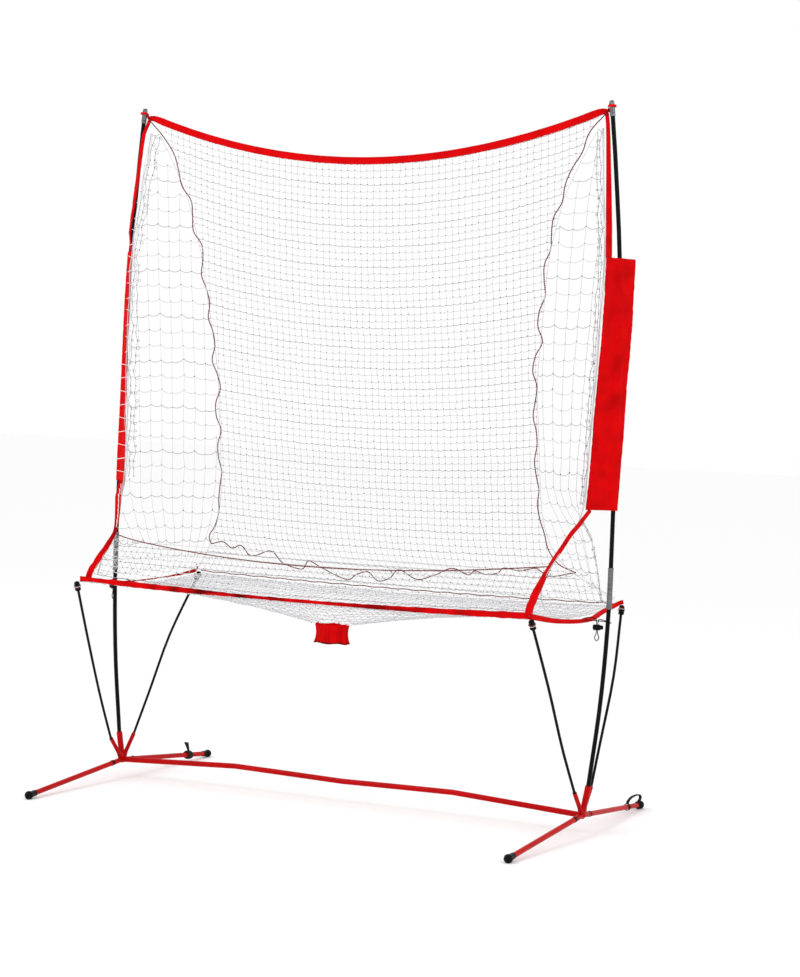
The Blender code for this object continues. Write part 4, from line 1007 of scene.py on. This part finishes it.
def cloth_band(name, stands_for, path, crosswise, width, ripple, shade):
    """One sewn band with its stitching."""
    shape, seams = Shape(), Shape()
    laid = band(shape, path, crosswise, width, ripple=ripple, shade=shade, across_steps=8)
    edge_stitches(seams, laid, width, 0.16, ripple=ripple)
    piece = make_piece(name, shape, (FINISHES["red_fabric"],), replaces=[stands_for])
    stitches = make_piece(f"{name}_stitches", seams, (THREAD,))
    length = float(np.linalg.norm(np.diff(laid[0], axis=0), axis=1).sum())


def extended(laid, before=(), after=()):
    """A strip's middle line with more points at its ends, and its width directions to match."""
    path, crosswise = laid
    line = [np.array(p, float) for p in before] + list(path) + [np.array(p, float) for p in after]
    return softened(line, 1), [crosswise[0]] * len(before) + crosswise + [crosswise[-1]] * len(after)


def tip_loop(side_name, end):
    """The loop of strap round a pole's tip, drawn together at the top strap's end."""
    tip = f"pole_tip_{side_name}"
    points = crossings(tip, 2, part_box(tip)[1].z - 0.0155)
    centre = points.mean(0)
    radius = float(np.linalg.norm(points - centre, axis=1).max()) + 0.0014
    out = np.array((end[0] - centre[0], end[1] - centre[1], 0.0))
    out /= np.linalg.norm(out)
    beside = np.array((-out[1], out[0], 0.0))
    path = [np.array(end) + beside * 0.001]
    for turn in np.radians(np.arange(50, 311, 20)):
        path.append(centre + (out * math.cos(turn) + beside * math.sin(turn)) * radius)
    path.append(np.array(end) - beside * 0.001)
    shape = Shape()
    smooth = curve_through(path, 0.003)
    # The loop darkens towards its ends, as painted shade where it is drawn together.
    band(shape, smooth, [UP] * len(smooth), 0.0065, 0.0014,
         shade=lambda i, u: 0.5 + 0.5 * min(1.0, i / 6, (len(smooth) - 1 - i) / 6))
    return make_piece(f"tip_loop_{side_name}", shape, (FINISHES["red_fabric"],))


def make_top_strap():
    """The strap between the pole tips: pinched at its ends, a little wavy."""
    low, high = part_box("top_strap")
    path, crosswise = strip("top_strap", 0, low.x + 0.002, high.x - 0.002, 161)
    reach = np.abs(path[:, 0]) / high.x
    width = 0.0215 - 0.009 * np.clip((reach - 0.93) / 0.07, 0, 1) ** 1.5

    def ripple(i, u):
        return (0.0016 * wave(path[i], 0.07, 1) + 0.0012 * u * wave(path[i], 0.11, 2)
                + 0.0025 * math.sin(u * 2.2) * max(0.0, reach[i] - 0.94) / 0.06)

    # Painted shade in the gathers at the pinched ends.
    def shade(i, u):
        return 1.0 - 0.55 * max(0.0, reach[i] - 0.95) / 0.05 * (0.5 + 0.5 * math.sin(6 * u))

    loops = [tip_loop(side_name, path[-1] if side > 0 else path[0]) for side_name, side in SIDES]
    cloth_band("top_band", "top_strap", path, crosswise, width, ripple, shade)


def make_binding(side_name, side):
    """The narrow strip beside the upper pole, wider towards the panel that it is sewn to."""
    node_name = f"side_binding_{side_name}"
    low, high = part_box(node_name)
    laid = strip(node_name, 2, low.z + 0.002, high.z - 0.002, 61, RIGHT * side)
    first, second = laid[0][0], laid[0][1]
    slope = (second - first) / (second[2] - first[2])
    seam = first + slope * (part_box(f"wing_panel_{side_name}")[1].z - 0.003 - first[2])
    strap_end = section("top_strap", 0, (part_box("top_strap")[1].x - 0.006) * side)[0]
    path, crosswise = extended(laid, [seam], [strap_end - UP * 0.008])
    width = np.interp(path[:, 2], (low.z, high.z - 0.1, high.z), (0.0205, 0.0135, 0.0110))
    if side < 0:
        ahead_of_pole = np.interp(path[:, 2], (low.z, low.z + 0.05, high.z - 0.02, high.z + 0.02),
                                  (0, 1, 1, 0))
        path += ahead_of_pole[:, None] * (-0.0065, -0.0085, 0)

    def ripple(i, u):
        return 0.0016 * wave(path[i], 0.05, 4 + side) * (0.4 + 0.6 * abs(u))

    # Painted shade in soft patches along the binding.
    def shade(i, u):
        return 1.0 - 0.25 * max(0.0, wave(path[i] + np.array((u * 0.004, 0, 0)), 0.035, 9))

    cloth_band(f"binding_{side_name}", node_name, path, crosswise, width, ripple, shade)


def make_front_strap(side_name, side):
    """The strap from the panel's lower corner to the tray's front corner."""
    node_name = f"front_strap_{side_name}"
    low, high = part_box(node_name)
    laid = strip(node_name, 1, high.y - 0.016, low.y + 0.016, 71)
    first = laid[0][0]
    slope = first - laid[0][3]
    top = first + slope * (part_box(f"wing_panel_{side_name}")[0].z + 0.001 - first[2]) / slope[2]
    path, crosswise = extended(laid, [top], mirrored(FRONT_STRAP_END, side))
    along = np.linspace(0, 1, len(path))
    if side > 0:
        width = 0.015 + 0.007 * np.clip((along - 0.60) / 0.3, 0, 1)
        turn = 0.15 * np.sin(along * 5)
    else:
        width = 0.018 - 0.007 * np.exp(-((along - 0.5) / 0.18) ** 2)
        turn = 0.7 * np.exp(-((along - 0.48) / 0.16) ** 2)
    path += [strap_shift(side_name, spot[2]) for spot in path]
    turned = []
    for place, direction, angle, share in zip(directions(path), crosswise, turn, along):
        if side > 0:
            facing = 0.9 * min(1.0, max(0.0, (share - 0.55) / 0.4))
        else:
            facing = float(np.interp(share, (0.0, 0.40, 0.55, 0.70, 1.0), (0.75, 0.65, 0.30, 0.30, 0.50)))
        made = Matrix.Rotation(float(angle), 3, Vector(place)) @ Vector(direction)
        turned.append(made * (1 - facing) - RIGHT * facing)

    def ripple(i, u):
        return 0.0018 * wave(path[i], 0.045, 12 + side) * (0.3 + abs(u))

    # Painted shade: the left strap darkens where it turns edge-on at its middle, and both darken in
    # creases.
    def shade(i, u):
        turned_shade = 0.45 * math.exp(-((along[i] - 0.5) / 0.15) ** 2) * (side < 0)
        crease_shade = max(0.0, wave(path[i] + np.array((0, u * 0.01, 0)), 0.03, 13 + side))
        return 1.0 - turned_shade - 0.35 * crease_shade

    cloth_band(f"front_band_{side_name}", node_name, path, turned, width, ripple, shade)


def make_front_lip():
    """The band along the tray's front edge: crumpled in the middle with painted shade in its folds, flat
    at its ends.
    """
    low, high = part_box("front_lip")
    laid = strip("front_lip", 0, low.x + 0.002, high.x - 0.002, 201)
    y, z = laid[0][-1][1], laid[0][-1][2] + 0.0004
    path, crosswise = extended(laid, [(-LIP_REACH, y, z)], [(LIP_REACH, y, z)])
    width = np.interp(path[:, 0], (-0.69, -0.48, -0.33, -0.20, 0.10, 0.28, 0.45, 0.69),
                      (0.0125, 0.0165, 0.0150, 0.0100, 0.0095, 0.0130, 0.0155, 0.0190))
    width *= [1 + 0.22 * wave(spot, 0.022, 25) for spot in path]
    crumple = np.interp(path[:, 0], (-0.50, -0.30, -0.05, 0.12, 0.40, 0.62),
                        (0.3, 1.0, 1.0, 0.8, 0.6, 0.1))

    def ripple(i, u):
        lift = 0.0020 * wave(path[i], 0.045, 21) + 0.0016 * u * wave(path[i], 0.03, 22)
        return lift + 0.0030 * crumple[i] * wave(path[i] + np.array((0, 0, u * 0.01)), 0.016, 23)

    # Painted shade in the crumpled folds, strongest in the middle.
    def shade(i, u):
        dark = wave(path[i] + np.array((0, 0, u * 0.012)), 0.045, 24) + 0.25 * crumple[i]
        return 1.0 - 0.8 * min(1.0, max(0.0, dark) * 1.7) * (0.25 + 0.75 * crumple[i])

    cloth_band("front_lip_band", "front_lip", path, crosswise, width, ripple, shade)


def make_side_band(side_name, side):
    """The band along one side of the tray; the left one is turned nearly flat."""
    node_name = f"side_band_{side_name}"
    low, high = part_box(node_name)
    laid = strip(node_name, 1, low.y + 0.003, high.y - 0.003, 91)
    path, crosswise = extended(laid, mirrored(SIDE_BAND_START, side), mirrored(SIDE_BAND_END, side))
    if side < 0:
        path[:, 2] += 0.008 * np.sin(math.pi * np.linspace(0, 1, len(path)))
    width = np.interp(path[:, 1], (-0.34, -0.12, 0.02, 0.13, 0.34),
                      (0.0165, 0.0130, 0.0115, 0.0160, 0.0130))
    turned = []
    for i, direction in enumerate(crosswise):
        share = i / (len(path) - 1)
        angle = 0.0 if side > 0 else 1.45 * math.sin(math.pi * share) ** 0.4
        turned.append(Matrix.Rotation(angle, 3, Vector(directions(path)[i])) @ Vector(direction))

    def ripple(i, u):
        return 0.0014 * wave(path[i], 0.05, 31 + side) + 0.0012 * u * wave(path[i], 0.04, 33 + side)

    # Painted shade: the left band, turned nearly flat, is darker all along, and both darken in creases.
    def shade(i, u):
        flat_band_shade = 0.35 * (side < 0)
        crease_shade = max(0.0, wave(path[i] + np.array((0, 0, u * 0.012)), 0.04, 35 + side))
        return 1.0 - flat_band_shade - 0.4 * crease_shade

    cloth_band(f"tray_side_band_{side_name}", node_name, path, turned, width, ripple, shade)


def make_wing_panel(side_name, side):
    """The flat sleeve round the pole: cloth with soft folds, and a stitched outer edge."""
    node_name = f"wing_panel_{side_name}"
    low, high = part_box(node_name)
    row = np.linspace(1, -1, PANEL_STEPS + 1)[:-1]
    outline = [(1, u) for u in row] + [(-1, -u) for u in row]
    outer, inner, uvs, shades = [], [], [], []
    seam, normals = [], []
    for z in np.linspace(low.z + 0.001, high.z - 0.001, PANEL_ROWS):
        points = crossings(node_name, 2, z)
        pole = pole_centre(side_name, z)
        along = section(node_name, 2, z, RIGHT * side)[1]
        along = Vector((along.x, along.y, 0)).normalized()
        reach = (points - np.array(tuple(pole))) @ np.array(tuple(along))
        far = float(reach.max()) + 0.0008 * wave((side, 0, z), 0.012, 41)
        near = float(-reach.min()) + 0.003 + 0.0010 * wave((side, 0, z), 0.010, 43)
        thick = along.cross(UP) * -side
        perimeter = 0.0
        last = None
        for k, (sign, u) in enumerate(outline):
            across = (far if u > 0 else near) * math.copysign(abs(u) ** 0.9, u)
            swell = math.cos(math.pi / 2 * min(1.0, abs(across) / 0.019)) ** 2
            half = 0.0019 + 0.0067 * swell
            free = max(0.0, 1 - swell) * min(1.0, abs(across) / 0.03)
            fold = 0.0042 * wave((across * 0.7, 0, z * 0.55), 0.045, 45 + side)
            fold += 0.0016 * wave((across, 0, z), 0.013, 47 + side)
            pucker = 0.0007 * wave((across * 2, sign, z), 0.011, 49 + side)
            shift = thick * (free * fold)
            spot = pole + along * across + thick * (sign * (half + pucker)) + shift
            core = pole + along * (across * 0.985) + thick * (sign * (half + pucker - 0.0009)) + shift
            outer.append((spot.x, spot.y, z))
            inner.append((core.x, core.y, z))
            if last is not None:
                perimeter += (spot - last).length
            last = spot
            uvs.append((perimeter, z))
            # Painted shade in the creases of the soft folds.
            crease_shade = max(0.0, wave((across * 1.5, sign, z), 0.05, 51 + side))
            shades.append(1.0 - 0.30 * crease_shade)
            if k == 1:
                seam.append(tuple(spot))
        normals.append(tuple(thick))
    shape, seams = Shape(), Shape()
    shape.add(outer + inner, double_wall(PANEL_ROWS, len(outline)), 0, uvs + uvs, shades + shades)
    stitch_row(seams, seam, normals, 0.0002)
    panel = make_piece(f"panel_sleeve_{side_name}", shape, (FINISHES["red_fabric"],),
                       replaces=[node_name])
    stitches = make_piece(f"panel_stitches_{side_name}", seams, (THREAD,))


def make_chute():
    """The sleeve under the tray: vertical folds, a ragged top and a rolled hem."""
    low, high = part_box("chute_sleeve")
    centre, half = (low + high) / 2, (high - low) / 2
    outer, inner, uvs, shades = [], [], [], []
    for t in np.linspace(0, 1, CHUTE_ROWS).tolist():
        for k in range(CHUTE_STEPS):
            a = 2 * math.pi * k / CHUTE_STEPS
            fold = 0.075 * math.sin(9 * a + 1.5 * math.sin(2 * a)) + 0.035 * math.sin(23 * a)
            fold *= 0.5 + 0.6 * t
            waist = 0.92 - 0.08 * math.sin(math.pi * t) + 0.03 * t * t
            size = waist + fold * 0.55
            top = high.z + 0.005 + 0.0045 * wave((math.cos(a) * 3, math.sin(a) * 3, 0), 0.4, 61)
            z = top + (low.z - top) * t + 0.0015 * math.sin(5 * a) * t
            wall = 0.0006 + 0.0011 * max(0.0, 1 - abs(t - 0.955) / 0.04)
            spot = Vector((centre.x + half.x * size * math.cos(a),
                           centre.y + half.y * size * math.sin(a), z))
            out = Vector((math.cos(a) / half.x, math.sin(a) / half.y, 0)).normalized()
            outer.append(tuple(spot + out * wall))
            inner.append(tuple(spot - out * wall))
            uvs.append((a * 0.045, z))
            # Painted shade in the inward folds and on the rolled hem.
            shades.append(1.0 + 3.0 * min(0.0, fold) - 0.65 * (t > 0.93))
    shape = Shape()
    shape.add(outer + inner, double_wall(CHUTE_ROWS, CHUTE_STEPS, True), 0, uvs + uvs, shades + shades)
    piece = make_piece("chute_cloth", shape, (FINISHES["red_fabric"],),
                       replaces=["chute_sleeve"])


# ---------------------------------------------------------------- cords

def lace_piece(name, path):
    """A twisted lace along a path, as a piece."""
    shape = Shape()
    twisted_lace(shape, path)
    make_piece(name, shape, (RED_LACE, BLACK_LACE))


def hem_point(x, z):
    """A point just before the back net at x and z."""
    cut = crossings("back_net", 0, x)
    cut = cut[np.argsort(cut[:, 2])]
    return x, float(np.interp(z, cut[:, 2], cut[:, 1])) - 0.004, z


def make_edge_laces(edges):
    """The wavy lace through the meshes at each side of the back net."""
    for side_name, side in SIDES:
        end = section("top_strap", 0, (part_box("top_strap")[1].x - 0.006) * side)[0]
        route = [(end.x, end.y - 0.003, end.z - 0.008)]
        outward = 0.003 if side < 0 else -0.009
        for k in range(2, len(edges), 2):
            x, y, z = edges[k]
            if z < HEM_ROUTE[0][1] + 0.012:
                break
            share = k / len(edges)
            loose = 0.003 + 0.006 * math.sin(math.pi * min(1.0, share * 1.25))
            swing = loose * (math.sin(z * 47 + side) + 1.2 * wave((side, 0, z), 0.07, 71))
            route.append((side * (x + outward * min(1.0, 4 * share) + swing),
                          y - 0.002 + 0.003 * math.cos(z * 47), z))
        route.append(hem_point(*HEM_ROUTE[-1 if side > 0 else 0]))
        lace_piece(f"edge_lace_{side_name}", curve_through(route, 0.006))


def make_hem_laces():
    """The lace that wanders along the back net's foot, and the one along the tray's rear edge."""
    foot = [hem_point(x, z) for x, z in HEM_ROUTE]
    lace_piece("hem_lace", curve_through(foot, 0.006))
    low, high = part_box("tray_net")
    rear = [(x, high.y - 0.003, 0.6055 + 0.0075 * (x / high.x) ** 2 + 0.0012 * math.sin(x * 90))
            for x in np.linspace(low.x + 0.004, high.x - 0.004, 90)]
    lace_piece("rear_lace", rear)


def make_white_lacing():
    """White thread: round the left binding's inner edge, over the left front strap, round the pole."""
    shape = Shape()
    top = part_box("side_binding_left")[1].z - 0.03
    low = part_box("front_strap_left")[1].z + 0.02
    for k, z in enumerate(np.arange(top, low, -WHITE_LACING_PITCH)):
        front, rear = (np.array(tuple(p)) for p in net_edges("left", z))
        inward = (rear - front) / np.linalg.norm(rear - front)
        through = np.cross(inward, (0, 0, 1))
        wide = 0.0085 if z > 1.25 else 0.0210
        centre = front - inward * (wide - 0.0085)
        small_ring(shape, centre, inward * wide + np.array((0, 0, 0.004 * (-1) ** k)),
                   through * (wide * 0.25 + 0.002), 0.0009, 0)
    strap_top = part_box("front_strap_left")[1].y
    path, crosswise = strip("front_strap_left", 1, strap_top - 0.016, strap_top - 0.150, 17)
    zigzag = []
    for i, (spot, across) in enumerate(zip(path, crosswise)):
        out = np.cross(across, directions(path)[i])
        out *= np.sign(out[0])
        zigzag.append(spot + strap_shift("left", spot[2]) + np.array(across) * (0.0105 * (-1) ** i)
                      + out * 0.0036)
    tube(shape, curve_through(zigzag, 0.004), 0.0011, 5, 0)
    for z, lean in FERRULE_TURNS:
        points = crossings("pole_ferrule_left", 2, z)
        centre = points.mean(0)
        reach = float(np.linalg.norm(points - centre, axis=1).max()) + 0.0012
        small_ring(shape, centre, (reach, 0, lean), (0, reach, 0.001), 0.0008, 0)
    make_piece("white_lacing", shape, (WHITE_THREAD,))


def make_corner_ties():
    """A thin elastic loop round each rod's cap, at the tray's corners."""
    shape = Shape()
    for corner in CORNERS:
        points = np.array([v.co for v in frame["nodes"][f"rod_cap_{corner}"].data.vertices])
        centre = points.mean(0)
        axis = np.linalg.svd(points - centre, full_matrices=False)[2][0]
        reach = float(np.linalg.norm(np.cross(points - centre, axis), axis=1).max()) + 0.0011
        first = np.cross(axis, (0, 1, 0))
        first /= np.linalg.norm(first)
        second = np.cross(axis, first)
        for shift, mark in ((-0.0016, 1), (0.0016, 0)):
            small_ring(shape, centre + axis * shift, first * reach, second * reach, 0.0009, mark)
    make_piece("corner_ties", shape, (RED_LACE, WHITE_STRAND))


def make_guard_cord(tops):
    """The cord along the upper edge of the guard net."""
    lace_piece("guard_cord", curve_through([tuple(p) for p in tops], 0.012))


def elastic_route(side):
    """The elastic: from the side band round the pole, through the lock, a bight, and back."""
    along = Vector((math.cos(LOCK_TURN), math.sin(LOCK_TURN), 0.0))
    first = LOCK_CENTRE + along * (STRAND_APART / 2)
    second = LOCK_CENTRE - along * (STRAND_APART / 2)
    wide = along * 0.0050
    route = [(0.7245, 0.010, 0.5905), (0.745, 0.012, 0.5905), (0.770, 0.0125, 0.590),
             (0.786, 0.0105, 0.589), (0.7955, 0.0085, 0.588), (0.8015, 0.0030, 0.588),
             (0.8018, -0.0050, 0.589), (0.7965, -0.0150, 0.593), (0.7880, -0.0245, 0.597),
             first + UP * 0.0205 + along * 0.001, first + UP * 0.0145, first, first - UP * 0.0155,
             first - UP * 0.0200 + along * 0.0008, first - UP * 0.0265 + wide * 0.75,
             LOCK_CENTRE - UP * 0.0345 + wide * 0.62, LOCK_CENTRE - UP * 0.0368,
             LOCK_CENTRE - UP * 0.0345 - wide * 0.62, second - UP * 0.0265 - wide * 0.75,
             second - UP * 0.0200 - along * 0.0008, second - UP * 0.0155, second,
             second + UP * 0.0145, second + UP * 0.0205 - along * 0.001, (0.762, -0.0340, 0.6020),
             (0.744, -0.0240, 0.6010), (0.7245, -0.0160, 0.5950)]
    return [Vector((p[0] * side, p[1], p[2])) for p in route]


def make_elastic(side_name, side):
    """The elastic cord that ties the tray's side band round the pole."""
    path = curve_through(elastic_route(side), 0.003)
    curve = bpy.data.curves.new(f"elastic_{side_name}", "CURVE")
    curve.dimensions = "3D"
    curve.bevel_depth = CORD_RADIUS
    curve.bevel_resolution = 3
    curve.use_fill_caps = True
    spline = curve.splines.new("POLY")
    spline.points.add(len(path) - 1)
    for point, place in zip(spline.points, path):
        point.co = (*place, 1.0)
    curve.materials.append(FINISHES["black_elastic"])
    cord = bpy.data.objects.new(f"elastic_{side_name}", curve)
    bpy.context.scene.collection.objects.link(cord)
    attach(cord, "stand")
    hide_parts(f"elastic_cord_{side_name}")
    length = sum((b - a).length for a, b in zip(path, path[1:]))
    tuple(path[0])


# ---------------------------------------------------------------- webbing loops

def hoop(shape, centre, axis, radius, width, thickness):
    """A closed ring of webbing round an axis."""
    axis = Vector(axis).normalized()
    across = axis.cross(RIGHT).normalized()
    above = axis.cross(across)
    profile = [(-1, 0), (-0.8, 1), (0.8, 1), (1, 0), (0.8, -1), (-0.8, -1)]
    points, uvs = [], []
    for k in range(RING_STEPS):
        a = 2 * math.pi * k / RING_STEPS
        out = across * math.cos(a) + above * math.sin(a)
        for along, lift in profile:
            points.append(tuple(Vector(centre) + axis * (along * width / 2)
                                + out * (radius + lift * thickness / 2)))
            uvs.append((along * width / 2, a * radius))
    faces = []
    size = len(profile)
    for k in range(RING_STEPS):
        low, high = k * size, (k + 1) % RING_STEPS * size
        faces += [(low + j, low + (j + 1) % size, high + (j + 1) % size, high + j) for j in range(size)]
    shape.add(points, faces, 0, uvs)


def leg_axis(side):
    """A rear leg's start at the hub, its direction, and the direction square to it that points up."""
    start, end = (Vector(place) for place in mirrored((HUB_CENTRE, REAR_FOOT), side))
    ahead = (end - start).normalized()
    lift = (UP - ahead * UP.dot(ahead)).normalized()
    return start, ahead, lift


def make_webbing(side_name, side):
    """The webbing on a rear leg: a ring, and an arch to the foot cap or a loose knotted tail."""
    node_name = f"webbing_loop_{side_name}"
    shape, seams = Shape(), Shape()
    start, ahead, lift = leg_axis(side)
    aside = lift.cross(ahead)
    hoop(shape, start + ahead * WEBBING_RING_PLACE, ahead, *LEG_RING)
    if side > 0:
        hoop(shape, start + ahead * WEBBING_CAP_PLACE, ahead, *CAP_RING)
        route, widths = WEBBING_ARCH, (0.009, 0.009)
    else:
        route, widths = WEBBING_TAIL, (0.006, 0.016)
        for shift, lean in KNOT_TURNS:
            hoop(shape, start + ahead * (WEBBING_RING_PLACE + shift), ahead + lift * lean, *KNOT_RING)
    path = curve_through([start + ahead * s + lift * h for s, h in route], 0.003)
    width = np.linspace(*widths, len(path))

    def ripple(i, u):
        return 0.0006 * wave(path[i], 0.02, 81 + side)

    laid = band(shape, path, [aside] * len(path), width, WEBBING_THICKNESS, ripple=ripple, hem=0.15)
    edge_stitches(seams, laid, width, 0.22, WEBBING_THICKNESS)
    piece = make_piece(f"webbing_{side_name}", shape, (FINISHES["black_webbing"],),
                       body=node_name, replaces=[node_name])
    stitches = make_piece(f"webbing_stitches_{side_name}", seams, (BLACK_LACE,), body=node_name)
    length = sum((b - a).length for a, b in zip(path, path[1:]))


# ---------------------------------------------------------------- the whole net

make_camera()
for side_name, side in SIDES:
    make_elastic(side_name, side)
finish_kept_parts()
edges = make_back_net()
make_tray_net()
tops = make_guard_net()
make_guard_cord(tops)
make_edge_laces(edges)
make_hem_laces()
make_white_lacing()
make_corner_ties()
make_top_strap()
make_front_lip()
make_chute()
for side_name, side in SIDES:
    make_side_net(side_name, side)
    make_binding(side_name, side)
    make_wing_panel(side_name, side)
    make_front_strap(side_name, side)
    make_side_band(side_name, side)
    make_webbing(side_name, side)
make_stage()
